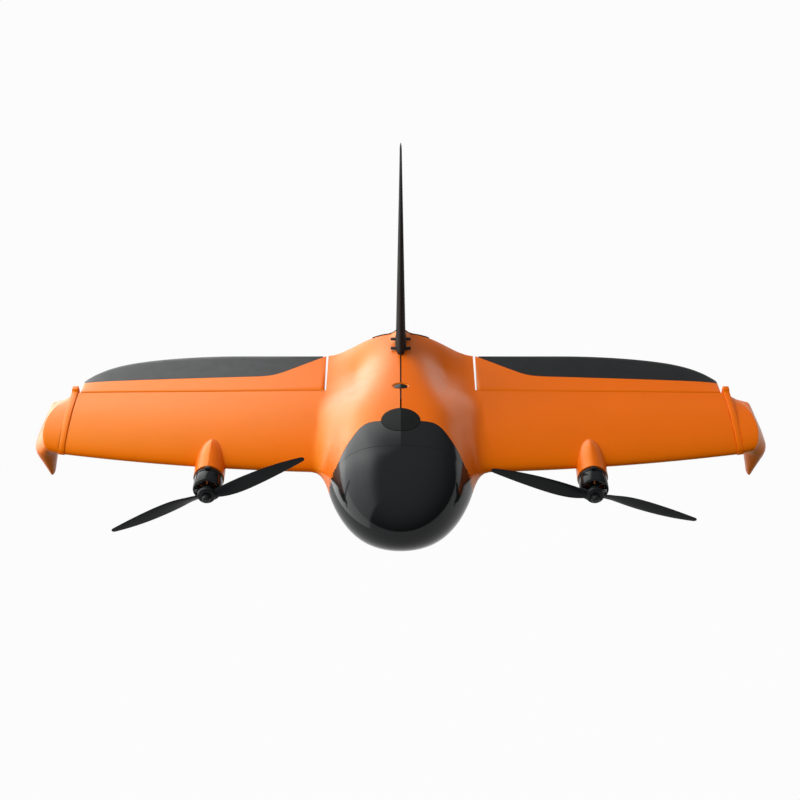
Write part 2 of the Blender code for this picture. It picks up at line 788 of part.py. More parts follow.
def rib_nub(y):
    """The rib kicks up at its rear end."""
    return RIB_NUB_HEIGHT * smooth((y - RIB_REAR_Y + RIB_NUB_LENGTH) / (0.4 * RIB_NUB_LENGTH))


def tip_rib(side, name):
    loops = []
    for x in (SEAM_X + FIT, SEAM_X + RIB_WIDTH):
        stations = chord_stations(x, wing_leading_edge(x) - RIB_PROUD, RIB_REAR_Y - RIB_NUB_LENGTH)
        stations += spaced(RIB_REAR_Y - RIB_NUB_LENGTH, RIB_REAR_Y, 4)[1:]
        upper = [(side * x, y, upper_z(x, y) + RIB_PROUD + rib_nub(y)) for y in stations]
        lower = [(side * x, y, lower_z(x, y) - RIB_PROUD) for y in stations]
        loops.append(upper + lower[::-1])
    rib = loft(name + "_tip_rib", loops)
    hole = rod("hole", PIN_RADIUS + FIT, side * (SEAM_X - RIB_WIDTH), side * (SEAM_X + 2.0 * RIB_WIDTH),
               "X", ORANGE)
    place(combine(rib, hole))


def winglet(side, name):
    """A faceted tip: level to the crease, down to the shoulder, then in to the toe."""
    root_x = SEAM_X + RIB_WIDTH + FIT
    toe_x = HALF_SPAN - WINGLET_LEAN
    front = wing_leading_edge(root_x)
    crest = thickest_y(root_x)
    top = upper_z(root_x, crest)
    bottom = lower_z(root_x, crest)
    toe = -WINGLET_DROP
    crease = (HALF_SPAN - WINGLET_BEVEL, top - WINGLET_CREASE_FALL)
    shoulder = (HALF_SPAN, WINGLET_SHOULDER_Z)
    leg = root_x + WINGLET_LEG_INSET
    # Each station: outer and inner spot where it is thickest, the spot it tapers to, its front and rear
    stations = [
        ((root_x, top), (root_x, bottom), (root_x, 0.5 * (top + bottom)), front, WINGLET_ROOT_REAR_Y),
        (crease, (leg, bottom), (crease[0], 0.0), front + WINGLET_CREASE_SWEEP, WINGLET_CREASE_REAR_Y),
        (shoulder, (leg, 2.0 * bottom), (shoulder[0] - WINGLET_REAR_BEVEL, shoulder[1]),
         front + WINGLET_SHOULDER_SWEEP, WINGLET_SHOULDER_REAR_Y),
        ((toe_x + WINGLET_TOE_HALF, toe), (toe_x - WINGLET_TOE_HALF, toe), (toe_x, toe),
         front + WINGLET_TOE_SWEEP, WINGLET_TOE_REAR_Y),
    ]
    shares = [1.0 - math.cos(angle) for angle in spaced(0.0, 0.5 * math.pi, 6)]
    loops = []
    for outer, inner, tail, start, rear in stations:
        outside = Vector(outer)
        inside = Vector(inner)
        behind = Vector(tail)
        middle = 0.5 * (outside + inside)
        thick_at = start + WINGLET_THICK_AT * (rear - start)
        upper = []
        lower = []
        for share in shares:
            fat = math.sqrt(1.0 - (1.0 - share) ** 2)
            y = start + share * (thick_at - start)
            upper.append((middle.lerp(outside, fat), y))
            lower.append((middle.lerp(inside, fat), y))
        for share in spaced(0.0, 1.0, 4)[1:]:
            slim = WINGLET_TAPER * share * share
            y = thick_at + share * (rear - thick_at)
            upper.append((outside.lerp(behind, slim), y))
            lower.append((inside.lerp(behind, slim), y))
        ring = upper + lower[:0:-1]
        loops.append([(side * spot.x, y, spot.y) for spot, y in ring])
    place(loft(name + "_winglet", loops))


# Motors and propellers

def nacelle(side, name):
    """A bullet shaped pod with a ridge on top that rises aft, parted from the wing by one fit."""
    centre = side * MOTOR_X
    loops = []
    for share in spaced(0.0, 1.0, 10):
        radius = NACELLE_RADIUS * math.sqrt(1.0 - (NACELLE_END_SHARE * share) ** NACELLE_POWER)
        y = NACELLE_FRONT_Y + share * NACELLE_LENGTH
        ring = []
        for angle in spaced(0.0, 2.0 * math.pi, SEGMENTS)[:-1]:
            above = max(0.0, 1.0 - abs(angle / (0.5 * math.pi) - 1.0))
            ridge = 1.0 + (NACELLE_RIDGE_SHARE + NACELLE_RISE_SHARE * share * share) * above
            ring.append((centre + radius * math.cos(angle), y, MOTOR_Z + radius * ridge * math.sin(angle)))
        loops.append(ring)
    pod = loft(name + "_nacelle", loops)
    near = MOTOR_X - 2.0 * NACELLE_RADIUS
    far = MOTOR_X + 2.0 * NACELLE_RADIUS
    wing = loft("wing", [body_loop(side * x, 0.0, FIT) for x in spaced(near, far, 4)])
    place(combine(pod, wing))


def motor(side, name):
    """Mount ring and stator on the pod; bell, shaft, propeller and nut turn together."""
    axis = (side * MOTOR_X, 0.0, MOTOR_Z)
    bore = SHAFT_RADIUS + FIT
    ring_back = NACELLE_FRONT_Y - FIT
    ring_front = ring_back - MOUNT_THICK
    ring = [(bore, ring_back), (MOUNT_RADIUS, ring_back), (MOUNT_RADIUS, ring_front), (bore, ring_front)]
    mount = turned(name + "_motor_mount", ring, "Y", BLACK_MATT)
    nub = block("nub", (-MOUNT_NUB, ring_front, 0.5 * MOUNT_RADIUS),
                (MOUNT_NUB, ring_back, MOUNT_RADIUS + MOUNT_NUB), BLACK_MATT, 0.3 * MOUNT_NUB)
    place(combine(mount, nub, "UNION"), axis)
    stator_back = ring_front - FIT
    stator_front = stator_back - STATOR_LENGTH
    core = [(bore, stator_back), (STATOR_RADIUS, stator_back), (STATOR_RADIUS, stator_front),
            (bore, stator_front)]
    place(turned(name + "_motor_stator", core, "Y", COPPER), axis)
    bell_front = stator_front - FIT - BELL_PLATE
    bell_back = bell_front + BELL_LENGTH
    inner = BELL_RADIUS - BELL_WALL
    plate_back = bell_front + BELL_PLATE
    boss_front = bell_front - BOSS_LENGTH
    chamfer = 0.5 * BELL_WALL
    cup = [(bore, plate_back), (inner, plate_back), (inner, bell_back), (BELL_RADIUS, bell_back),
           (BELL_RADIUS, bell_front + chamfer), (BELL_RADIUS - chamfer, bell_front),
           (BOSS_RADIUS, bell_front), (BOSS_RADIUS, boss_front), (bore, boss_front)]
    place(turned(name + "_motor_bell", cup, "Y", BLACK_GLOSS), axis)
    hub_back = boss_front - FIT
    nut_back = propeller(side, name, axis, hub_back, bore) - FIT
    nut_front = nut_back - NUT_LENGTH
    dome = [(bore, nut_back), (NUT_RADIUS, nut_back), (NUT_RADIUS, nut_back - 0.4 * NUT_LENGTH),
            (0.8 * NUT_RADIUS, nut_back - 0.75 * NUT_LENGTH), (bore + 0.15 * NUT_RADIUS, nut_front),
            (bore, nut_front)]
    place(turned(name + "_prop_nut", dome, "Y", BLACK_MATT), axis)
    place(rod(name + "_motor_shaft", SHAFT_RADIUS, nut_front, ring_back - FIT, "Y", STEEL), axis)


def blade_chord(share):
    """Blade width along the radius, from a slim root to a narrow squared tip."""
    widest = BLADE_WIDEST_SHARE
    if share > widest:
        fall = ((share - widest) / (1.0 - widest)) ** 2
        return BLADE_CHORD + (BLADE_TIP_CHORD - BLADE_CHORD) * fall
    return BLADE_CHORD * (1.0 - 0.55 * ((widest - share) / widest) ** 2)


def blade(hand, direction, middle):
    """One twisted blade along +X or -X; hand mirrors the pitch."""
    loops = []
    for radius in spaced(0.5 * PROP_HUB_RADIUS, PROP_RADIUS, 10):
        share = radius / PROP_RADIUS
        chord = blade_chord(share)
        pitch = math.atan(PROP_PITCH / (2.0 * math.pi * max(radius, 0.18 * PROP_RADIUS)))
        thick = chord * (BLADE_THICK_SHARE + 0.2 * (1.0 - share) ** 4)
        bow = -hand * BLADE_BOW * math.sin(math.pi * math.sqrt(share)) ** 2
        outline = [(-0.5, 0.0), (-0.38, 0.42), (-0.1, 0.55), (0.25, 0.36), (0.5, 0.06),
                   (0.5, -0.06), (0.2, -0.22), (-0.2, -0.3), (-0.4, -0.25)]
        ring = []
        for along, up in outline:
            across = along * chord
            rise = -up * thick
            z = bow + across * math.cos(pitch) - hand * rise * math.sin(pitch)
            y = hand * across * math.sin(pitch) + rise * math.cos(pitch)
            ring.append((direction * radius, middle + y, z))
        loops.append(ring)
    if direction < 0:
        loops = [[(x, y, -z) for x, y, z in ring] for ring in loops]
    return loft("blade", loops, CARBON)


def propeller(side, name, axis, hub_back, bore):
    """Two blades on a round hub; returns the front face of the hub."""
    front = hub_back - PROP_HUB_THICK
    middle = 0.5 * (hub_back + front)
    edge = 0.2 * PROP_HUB_THICK
    disc = [(0.0, hub_back), (PROP_HUB_RADIUS - edge, hub_back), (PROP_HUB_RADIUS, hub_back - edge),
            (PROP_HUB_RADIUS, front + edge), (PROP_HUB_RADIUS - edge, front), (0.0, front)]
    prop = turned(name + "_propeller", disc, "Y", CARBON)
    for direction in (1.0, -1.0):
        combine(prop, blade(-side, direction, middle), "UNION")
    combine(prop, rod("bore", bore, front - edge, hub_back + edge, "Y", CARBON))
    place(prop, axis, BLADE_ANGLE_LEFT if side > 0 else BLADE_ANGLE_RIGHT)
    return front


# Fin and tail

def fin_section(front, rear, half, z, points=7):
    """A thin symmetric section at height z."""
    upper = []
    for angle in spaced(0.0, math.pi, points):
        share = 0.5 - 0.5 * math.cos(angle)
        fat = 1.0 if share > 0.3 else math.sqrt(max(0.0, 1.0 - ((0.3 - share) / 0.3) ** 2))
        slim = 1.0 if share < 0.3 else 1.0 - 0.75 * ((share - 0.3) / 0.7) ** 1.5
        upper.append((half * fat * slim, front + share * (rear - front), z))
    lower = [(-x, y, z) for x, y, z in upper]
    return upper + lower[:0:-1]


def fin():
    loops = []
    for share in (0.0, 0.25, 0.5, 0.75, 0.92, 0.98, 1.0):
        z = FIN_ROOT_Z + FIT + share * (FIN_TIP_Z - FIN_ROOT_Z - FIT)
        front = FIN_ROOT_LE_Y + (FIN_TIP_LE_Y - FIN_ROOT_LE_Y) * share ** 1.15
        round_tip = max(0.0, share - 0.92) / 0.08
        front += 0.35 * (FIN_TIP_TE_Y - FIN_TIP_LE_Y) * round_tip ** 2
        rear = FIN_ROOT_TE_Y + (FIN_TIP_TE_Y - FIN_ROOT_TE_Y) * share
        half = FIN_ROOT_HALF + (FIN_TIP_HALF - FIN_ROOT_HALF) * share
        loops.append(fin_section(front, rear, half, z))
    place(loft("fin", loops, BLACK_MATT))


def fin_pedestal():
    """The raised seat of the fin; its underside follows the fuselage and the bumper."""
    front = FIN_ROOT_LE_Y - PEDESTAL_MARGIN
    rear = FIN_ROOT_TE_Y
    half = FIN_ROOT_HALF + PEDESTAL_MARGIN
    low = fin_section(front - PEDESTAL_MARGIN, rear, half + PEDESTAL_MARGIN, 0.0)
    top = fin_section(front, rear, half, FIN_ROOT_Z)
    seat = loft("fin_pedestal", [low, top], BLACK_MATT)
    combine(seat, grown_body())
    combine(seat, tail_bumper_solid(FIT))
    for share in CLIP_STATIONS:
        combine(seat, clip_bar(share, FIT))
    place(seat)


def clip_bar(share, grow):
    """A flat cross key through the pedestal that locks the fin's root."""
    y = FIN_ROOT_LE_Y + share * (FIN_ROOT_TE_Y - FIN_ROOT_LE_Y)
    reach = FIN_ROOT_HALF + CLIP_REACH + grow
    ends = (y - 0.5 * CLIP_LENGTH, y + 0.5 * CLIP_LENGTH)
    base = max(crest_z(end) for end in ends) + CLIP_STAND
    low = (-reach, y - 0.5 * CLIP_LENGTH - grow, base - grow)
    high = (reach, y + 0.5 * CLIP_LENGTH + grow, base + CLIP_THICK + grow)
    return block("clip", low, high, RUBBER)


def fin_clips():
    for share, name in zip(CLIP_STATIONS, ("front_fin_clip", "rear_fin_clip")):
        clip = clip_bar(share, 0.0)
        clip.name = name
        place(clip)


def tail_bumper_solid(grow):
    """The bumper behind the tail, or with grow the room that its neighbours leave for it."""
    loops = []
    front = TE_ROOT_Y + FIT - grow
    for x in spaced(-BUMPER_HALF, BUMPER_HALF, 14):
        out = clamp((abs(x) - BUMPER_FLAT_HALF) / (BUMPER_HALF - BUMPER_FLAT_HALF), 0.0, 1.0)
        rear = BUMPER_REAR_Y - BUMPER_ROUND * out * out + grow
        top = upper_z(x, TE_ROOT_Y) + BUMPER_PROUD + grow
        bottom = lower_z(x, TE_ROOT_Y) - grow
        lip = front + BUMPER_LIP + grow
        ring = [(front, top), (lip, top), (rear, top - BUMPER_FALL), (rear, bottom + BUMPER_RISE),
                (lip, bottom), (front, bottom)]
        side = x * (1.0 + grow / BUMPER_HALF)
        loops.append([(side, y, z) for y, z in ring])
    return loft("tail_bumper", loops, RUBBER)


def tail_bumper():
    place(tail_bumper_solid(0.0))


# Belly plate, spar and equipment

def belly_plate():
    top = -BELLY_FLAT - FIT
    low = (-PLATE_HALF, PLATE_FRONT_Y, top - PLATE_THICK)
    high = (PLATE_HALF, PLATE_REAR_Y, top)
    place(block("belly_plate", low, high, RUBBER, 0.0012))


def wing_spar():
    inside = SPAR_RADIUS - SPAR_WALL
    tube = [(inside, -SPAR_HALF_LENGTH), (SPAR_RADIUS, -SPAR_HALF_LENGTH), (SPAR_RADIUS, SPAR_HALF_LENGTH),
            (inside, SPAR_HALF_LENGTH)]
    place(turned("wing_spar", tube, "X", CARBON, (0.0, SPAR_Y, 0.0)))


def stacked(name, size, x, y_front, base, finish, round_off=0.0015):
    """A box of the given size on the level base, its front at y_front and its middle at x."""
    low = (x - 0.5 * size[0], y_front, base)
    high = (x + 0.5 * size[0], y_front + size[1], base + size[2])
    place(block(name, low, high, finish, round_off))
    return base + size[2] + FIT


def equipment():
    floor = CAVITY_WALL - BELLY_FLAT + FIT
    tray_length = PLATE_REAR_Y - PLATE_FRONT_Y
    tray_size = (2.0 * TRAY_HALF, tray_length, TRAY_THICK)
    base = stacked("avionics_tray", tray_size, 0.0, PLATE_FRONT_Y, floor, CARBON, 0.0004)
    apart = 0.5 * BATTERY_SIZE[0] + 2.0 * FIT
    for side, name in ((1.0, "left_battery"), (-1.0, "right_battery")):
        stacked(name, BATTERY_SIZE, side * apart, BATTERY_FRONT_Y, base, WRAP, 0.003)
    top = stacked("flight_controller", CONTROLLER_SIZE, 0.0, CONTROLLER_FRONT_Y, base, BOARD)
    stacked("gps_module", GPS_SIZE, 0.0, CONTROLLER_FRONT_Y, top, BOARD)
    stacked("payload_camera", CAMERA_SIZE, 0.0, CAMERA_Y - 0.5 * CAMERA_SIZE[1], floor, BOARD, 0.003)
    window_top = -BELLY_FLAT + WINDOW_THICK
    spot = (0.0, CAMERA_Y, 0.0)
    place(rod("camera_lens", LENS_RADIUS, window_top + FIT, floor - FIT, "Z", GLASS, spot))
    place(rod("camera_window", WINDOW_RADIUS, -BELLY_FLAT, window_top, "Z", GLASS, spot))


def main():
    for side, name in ((1.0, "left"), (-1.0, "right")):
        half_shell(side, name + "_half_shell")
        elevon(side, name)
        elevon_drive(side, name)
        tip_rib(side, name)
        winglet(side, name)
        nacelle(side, name)
        motor(side, name)
    seam_gasket()
    nose_pieces()
    latch_pad()
    power_button()
    fin()
    fin_pedestal()
    fin_clips()
    tail_bumper()
    belly_plate()
    wing_spar()
    equipment()


main()
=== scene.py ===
"""Looks of the fixed wing survey drone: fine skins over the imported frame, materials, light and camera.

Shapes are written in the wing frame, where y = 0 is the elevon hinge line with +y aft, z = 0 is the chord
plane and x runs along the span, in metres.  ORIGIN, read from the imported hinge, carries them into the frame.
"""
import json
import math

import bmesh
import bpy
from mathutils import Matrix, Vector
from mathutils.bvhtree import BVHTree
from mathutils.interpolate import poly_3d_calc

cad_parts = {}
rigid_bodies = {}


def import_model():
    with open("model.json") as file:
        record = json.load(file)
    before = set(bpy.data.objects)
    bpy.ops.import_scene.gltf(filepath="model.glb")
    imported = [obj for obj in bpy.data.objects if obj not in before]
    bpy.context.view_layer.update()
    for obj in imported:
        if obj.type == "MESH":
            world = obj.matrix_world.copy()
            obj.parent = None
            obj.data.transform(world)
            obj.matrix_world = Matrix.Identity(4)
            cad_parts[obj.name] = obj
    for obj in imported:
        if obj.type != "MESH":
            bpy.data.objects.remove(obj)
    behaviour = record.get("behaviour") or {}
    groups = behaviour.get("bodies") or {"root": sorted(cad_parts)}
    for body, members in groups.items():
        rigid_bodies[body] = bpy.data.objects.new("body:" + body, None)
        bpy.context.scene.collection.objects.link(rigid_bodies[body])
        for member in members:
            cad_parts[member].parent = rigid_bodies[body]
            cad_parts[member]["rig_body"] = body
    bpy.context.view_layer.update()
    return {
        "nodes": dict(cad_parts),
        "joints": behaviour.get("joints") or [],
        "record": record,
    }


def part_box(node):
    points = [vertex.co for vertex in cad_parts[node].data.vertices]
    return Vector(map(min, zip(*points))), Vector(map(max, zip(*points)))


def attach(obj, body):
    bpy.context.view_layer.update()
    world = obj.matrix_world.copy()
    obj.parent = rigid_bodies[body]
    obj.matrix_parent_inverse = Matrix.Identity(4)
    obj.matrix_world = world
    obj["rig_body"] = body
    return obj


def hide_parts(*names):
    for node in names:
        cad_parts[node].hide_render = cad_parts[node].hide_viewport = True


for leftover in list(bpy.data.objects):
    bpy.data.objects.remove(leftover)

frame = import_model()
NODES = frame["nodes"]
HINGE = next(joint for joint in frame["joints"] if joint["name"] == "left_elevon_hinge")
ORIGIN = Vector((0.0, HINGE["pos_m"][1], HINGE["pos_m"][2]))

# Wing plan and section
HALF_SPAN = 0.625
SEAM_X = 0.5645
WING_ROOT_X = 0.154
LE_ROOT_Y = -0.2115
LE_SWEEP = 0.0162
LE_BOW = 0.0305
TE_ROOT_Y = 0.1234
TE_BEND_X = 0.29
TE_SWEEP = 0.042
TE_ROUND = 0.0365
TE_HALF = 0.0012
THICK_ROOT = 0.12
THICK_TIP = 0.10
UPPER_SHARE = 0.55
MAX_THICK_AT = 0.30
HINGE_HALF_ROOT = 0.0145
HINGE_HALF_TIP = 0.0100

# Fuselage blended into the wing
NOSE_Y = -0.204
NOSE_LENGTH = 0.187
NOSE_HALF_WIDTH = 0.1245
NOSE_BLEND_SHARE = 0.75
FILLET_X = 0.1178
CREST_FRONT = 0.088
CREST_TAIL = 0.0504
CREST_TAIL_SLOPE = -0.145
BELLY_DEPTH = 0.0825
BELLY_FLAT = 0.0785
BELLY_REAR_Y = -0.02
BELLY_TAIL = 0.022
BELLY_TAIL_SLOPE = -0.22
HUMP_HALF_WIDTH = 0.1345
HUMP_POWER_NOSE = 2.4
HUMP_POWER_TAIL = 1.35
BELLY_POWER = 2.2
WAIST_WIDTH = 0.62
WAIST_SHARE = 0.50
WAIST_SPAN = (-0.150, 0.035)
WAIST_FADE = 0.012
SWELL_WIDTH = 1.07
SWELL_SPAN = (-0.21, -0.085, -0.012)
CEILING_DROP = 0.007
CEILING_SPAN = (-0.13, -0.07)
RIDGE_FALL = 0.12
RIDGE_SOFT = 0.05
RIDGE_FADE = 0.045
FAIRING_HEIGHT = 0.0105
FAIRING_HALF = 0.020
FAIRING_START_Y = 0.070
DOME_Y = -0.251
CAVITY_HALF = 0.088
PAD_PROUD = 0.0006
BEZEL_DISH = 0.0015
BEZEL_CURVE_SHARE = 0.4
BEZEL_CLEAR = 0.0003
BUTTON_DOME = 0.0009
SEAM_HALF_GAP = 0.0013

# Fine copies of CAD faces: how thin a sliver is, and how squarely a face has to lie on the skin
SLIVER = 0.00005
FACING = 0.6

# Elevons
ELEVON_IN = 0.1348
ELEVON_OUT = 0.5613
EDGE_IN_Y = 0.0475
EDGE_OUT_Y = 0.0350
EDGE_RAMP = 0.80
EDGE_SOFT = 0.006
EDGE_MIN = 0.004
EDGE_GAP = 0.0006
END_ROUND = 0.0010
HINGE_GROOVE = 0.0022
HINGE_GROOVE_TURN = math.radians(20.0)

# Wing tips
RIB_WIDTH = 0.012
RIB_REAR_Y = 0.012
RIB_PROUD = 0.0014
RIB_NUB_HEIGHT = 0.003
RIB_NUB_LENGTH = 0.014
RIB_NUB_RAMP = 0.0056
RIB_ROUND = 0.0007
RIB_GROOVE = 0.0012
RIB_GROOVE_DEPTH = 0.0016
WINGLET_BEVEL = 0.0165
WINGLET_LEAN = 0.027
WINGLET_BROW_INSET = 0.0015
WINGLET_BROW_RISE = 0.0045
WINGLET_BROW_REAR = 0.008
WINGLET_ROUNDING = {1: 0.10, 2: 0.16, 3: 0.22}
WINGLET_CREASE_FALL = 0.004
WINGLET_LEG_INSET = 0.009
WINGLET_SHOULDER_Z = -0.016
WINGLET_REAR_BEVEL = 0.005
WINGLET_DROP = 0.0665
WINGLET_ROOT_REAR_Y = -0.003
WINGLET_CREASE_REAR_Y = -0.021
WINGLET_SHOULDER_REAR_Y = -0.062
WINGLET_TOE_REAR_Y = -0.100
WINGLET_CREASE_SWEEP = 0.010
WINGLET_SHOULDER_SWEEP = 0.016
WINGLET_TOE_SWEEP = 0.025
WINGLET_TOE_HALF = 0.004
WINGLET_TAPER = 0.85
WINGLET_THICK_AT = 0.35

# Motors and propellers
MOTOR_X = 0.3173
MOTOR_Z = -0.003
NACELLE_RADIUS = 0.0255
NACELLE_FRONT_Y = -0.2275
NACELLE_LENGTH = 0.090
NACELLE_POWER = 4.0
NACELLE_END_SHARE = 0.98
NACELLE_RIDGE_SHARE = 0.08
NACELLE_RISE_SHARE = 0.30
SHAFT_BORE = 0.0033
MOUNT_RADIUS = 0.0242
MOUNT_EDGE = 0.0007
MOUNT_NUB_HALF = 0.0045
MOUNT_NUB_RISE = 0.003
MOUNT_NUB_EDGE = 0.0009
STATOR_TEETH = 12
STATOR_CORE = 0.0085
TOOTH_HALF = 0.0036
TOOTH_INSET = 0.0012
TOOTH_THICK = 0.0018
TOOTH_GAP = 0.0003
COIL_STEPS = 14
COIL_HALF = 0.0016
COIL_FLARE = 0.085
COIL_RIB = 0.0004
COIL_INSET = 0.0022
BELL_WALL = 0.0032
BELL_EDGE = 0.0010
BELL_PLATE = 0.0040
BOSS_LENGTH = 0.0065
BOSS_RADIUS = 0.0085
BOSS_EDGE = 0.0007
BOSS_FOOT = 0.0100
SPOKES = 7
SPOKE_HALF = 0.0022
SPOKE_FRONT = 0.0004
SPOKE_REAR = 0.0030
SPOKE_LAP = 0.0006
SPOKE_EDGE = 0.0005
MAGNETS = 14
MAGNET_HALF = 0.0036
MAGNET_THICK = 0.0012
MAGNET_LAP = 0.0003
MAGNET_FRONT = 0.0010
MAGNET_REAR = 0.0015
PROP_RADIUS = 0.1790
PROP_PITCH = 0.10
HUB_RADIUS = 0.0150
HUB_FIT = 0.0003
HUB_ROUND = 0.0020
HUB_STEP = 0.0008
BLADE_CHORD = 0.0245
BLADE_TIP_CHORD = 0.0070
BLADE_BOW = 0.0042
BLADE_THICK_SHARE = 0.11
BLADE_ROOT_THICK_SHARE = 0.2
BLADE_WIDEST_SHARE = 0.4
BLADE_ROOT_SLIM = 0.72
BLADE_START_SHARE = 0.4
BLADE_TWIST_SHARE = 0.18
BLADE_TIP_SHARE = 0.97
BLADE_ROUND_SHARE = 0.975
BLADE_ROUND_SLIM = 0.9
BLADE_FULL = (2.6, 0.10)
BLADE_TOP = 0.55
BLADE_UNDER = 0.30
NUT_FLATS = 0.0040
NUT_CROWN_LAP = 0.0005
NUT_CROWN_RADIUS = 0.0070
BLADE_ANGLES = {"left": math.radians(17.1), "right": math.radians(-25.2)}

# Fin
FIN_ROOT_LE_Y = 0.0355
FIN_ROOT_TE_Y = 0.156
FIN_TIP_LE_Y = 0.118
FIN_TIP_TE_Y = 0.160
FIN_ROOT_Z = 0.0683
FIN_TIP_Z = 0.414
FIN_ROOT_HALF = 0.0088
FIN_TIP_HALF = 0.0018
FIN_LE_POWER = 1.15
FIN_THICK_AT = 0.3
FIN_TAPER = 0.75
FIN_TAPER_POWER = 1.5
FIN_ROUND_FROM = 0.92
FIN_ROUND_SHARE = 0.35

# The photograph's camera: angle down, distance to the hinge line, focal length and aim in its pixels
PHOTO_SIZE = 800
VIEW_DOWN = math.radians(36.0)
VIEW_DISTANCE = 3.075
FOCAL_PIXELS = 1750.0
AIM_PIXEL = (400.7, 396.5)
SENSOR_WIDTH = 36.0
CLIP_END = 500.0

# Blocky parts whose edges are eased, by how much, and the angles that count as flat and as an edge
FLAT_ANGLE = math.radians(2.0)
EDGE_ANGLE = math.radians(40.0)
EASED = {"front_fin_clip": 0.0006, "rear_fin_clip": 0.0006, "avionics_tray": 0.0006, "left_battery": 0.002,
         "right_battery": 0.002, "flight_controller": 0.0008, "gps_module": 0.001, "payload_camera": 0.001,
         "left_elevon_servo": 0.0008, "right_elevon_servo": 0.0008, "belly_plate": 0.0010}

# Studio: floor, the light panel's two ends, its height and brightness along it, the fill by height
FLOOR_DROP = 2.4
FLOOR_HALF = 150.0
FLOOR_COLOUR = (0.10, 0.10, 0.10, 1.0)
FLOOR_GLOW = 0.97
PANEL_FRONT = (-3.0, -2.1, 0.0)
PANEL_REAR = (-0.3, 6.3, 0.0)
PANEL_LOW = -0.75
PANEL_HIGH = 6.75
PANEL_RADIANCE = 3.5
PANEL_ALONG = ((0.06, 0.42), (0.20, 0.72), (0.36, 0.78), (0.46, 1.0), (0.54, 1.0), (0.75, 0.54),
               (1.0, 0.34))
PANEL_UP = ((0.38, 1.0), (0.57, 0.76), (0.76, 0.28), (0.90, 0.09), (1.0, 0.05))
FILL_LEVELS = ((0.0, 0.05), (0.12, 0.08), (0.4, 0.2), (1.0, 0.6))
HORIZON_LEVELS = ((0.09, 1.0),)


# Shape functions of the blended wing body

def clamp(value, low, high):
    return max(low, min(high, value))


def smooth(share):
    share = clamp(share, 0.0, 1.0)
    return share * share * (3.0 - 2.0 * share)


def spaced(first, last, steps):
    return [first + (last - first) * i / steps for i in range(steps + 1)]


def hermite(at, start, end, start_value, end_value, start_slope, end_slope):
    span = end - start
    u = clamp((at - start) / span, 0.0, 1.0)
    bend_in = u * (1.0 - u) ** 2 * span * start_slope
    bend_out = u * u * (u - 1.0) * span * end_slope
    return start_value + (end_value - start_value) * smooth(u) + bend_in + bend_out


def wing_leading_edge(x):
    out = max(0.0, abs(x) - WING_ROOT_X) / (SEAM_X - WING_ROOT_X)
    return LE_ROOT_Y + LE_SWEEP * out + LE_BOW * out * out


def nose_leading_edge(x):
    return NOSE_Y - NOSE_LENGTH * math.sqrt(1.0 - (x / NOSE_HALF_WIDTH) ** 2)


def leading_edge(x):
    """Plan outline: the nose ellipse, a fillet, and the curved wing leading edge."""
    x = abs(x)
    if x <= FILLET_X:
        return nose_leading_edge(x)
    if x >= WING_ROOT_X:
        return wing_leading_edge(x)
    rise = math.sqrt(1.0 - (FILLET_X / NOSE_HALF_WIDTH) ** 2)
    slope = NOSE_LENGTH * FILLET_X / (NOSE_HALF_WIDTH ** 2 * rise)
    start = nose_leading_edge(FILLET_X)
    wing_slope = LE_SWEEP / (SEAM_X - WING_ROOT_X)
    return hermite(x, FILLET_X, WING_ROOT_X, start, LE_ROOT_Y, slope, wing_slope)


def trailing_edge(x):
    out = clamp((abs(x) - TE_BEND_X) / (ELEVON_OUT - TE_BEND_X), 0.0, 1.0)
    return TE_ROOT_Y - TE_SWEEP * out ** 2 - TE_ROUND * out ** 8


def hinge_half(x):
    share = (abs(x) - ELEVON_IN) / (SEAM_X - ELEVON_IN)
    return HINGE_HALF_ROOT + (HINGE_HALF_TIP - HINGE_HALF_ROOT) * clamp(share, 0.0, 1.2)


def thickest_y(x):
    """Where the section is thickest: the nose station inboard, 30 % chord on the wing."""
    front = wing_leading_edge(x)
    wing = front + MAX_THICK_AT * (TE_ROOT_Y - front)
    inner = NOSE_BLEND_SHARE * NOSE_HALF_WIDTH
    return NOSE_Y + (wing - NOSE_Y) * smooth((abs(x) - inner) / (WING_ROOT_X - inner))


def wing_half_thickness(x, y, share):
    front = wing_leading_edge(x)
    chord = TE_ROOT_Y - front
    out = clamp(abs(x) / SEAM_X, 0.0, 1.2)
    most = share * chord * (THICK_ROOT + (THICK_TIP - THICK_ROOT) * out)
    half = hinge_half(x)
    slope = (TE_HALF - half) / TE_ROOT_Y
    if y > 0.0:
        return half + slope * y
    return hermite(y, front + MAX_THICK_AT * chord, 0.0, most, half, 0.0, slope)


def hump(x, power):
    reach = abs(x) / HUMP_HALF_WIDTH
    return 0.5 + 0.5 * math.cos(math.pi * min(1.0, reach) ** power)


def front_rounding(x, y):
    crest = thickest_y(x)
    if y >= crest:
        return 1.0
    return math.sqrt(max(0.0, 1.0 - ((crest - y) / (crest - leading_edge(x))) ** 2))


def fin_fairing(x, y):
    """The skin swells up to the sides of the fin towards the tail."""
    beside = 0.5 + 0.5 * math.cos(math.pi * min(1.0, abs(x) / FAIRING_HALF))
    return FAIRING_HEIGHT * beside * smooth((y - FAIRING_START_Y) / (TE_ROOT_Y - FAIRING_START_Y))


def ridge(x, y):
    """Distance from the centre ridge, which is a sharp crease aft of the dome and melts away on it."""
    soft = RIDGE_SOFT * smooth((DOME_Y - y) / RIDGE_FADE)
    return math.sqrt(x * x + soft * soft) - soft


def crest_z(x, y):
    crest = hermite(y, NOSE_Y, TE_ROOT_Y, CREST_FRONT, CREST_TAIL, 0.0, CREST_TAIL_SLOPE)
    return crest * (1.0 - RIDGE_FALL * min(1.0, ridge(x, y) / HUMP_HALF_WIDTH))


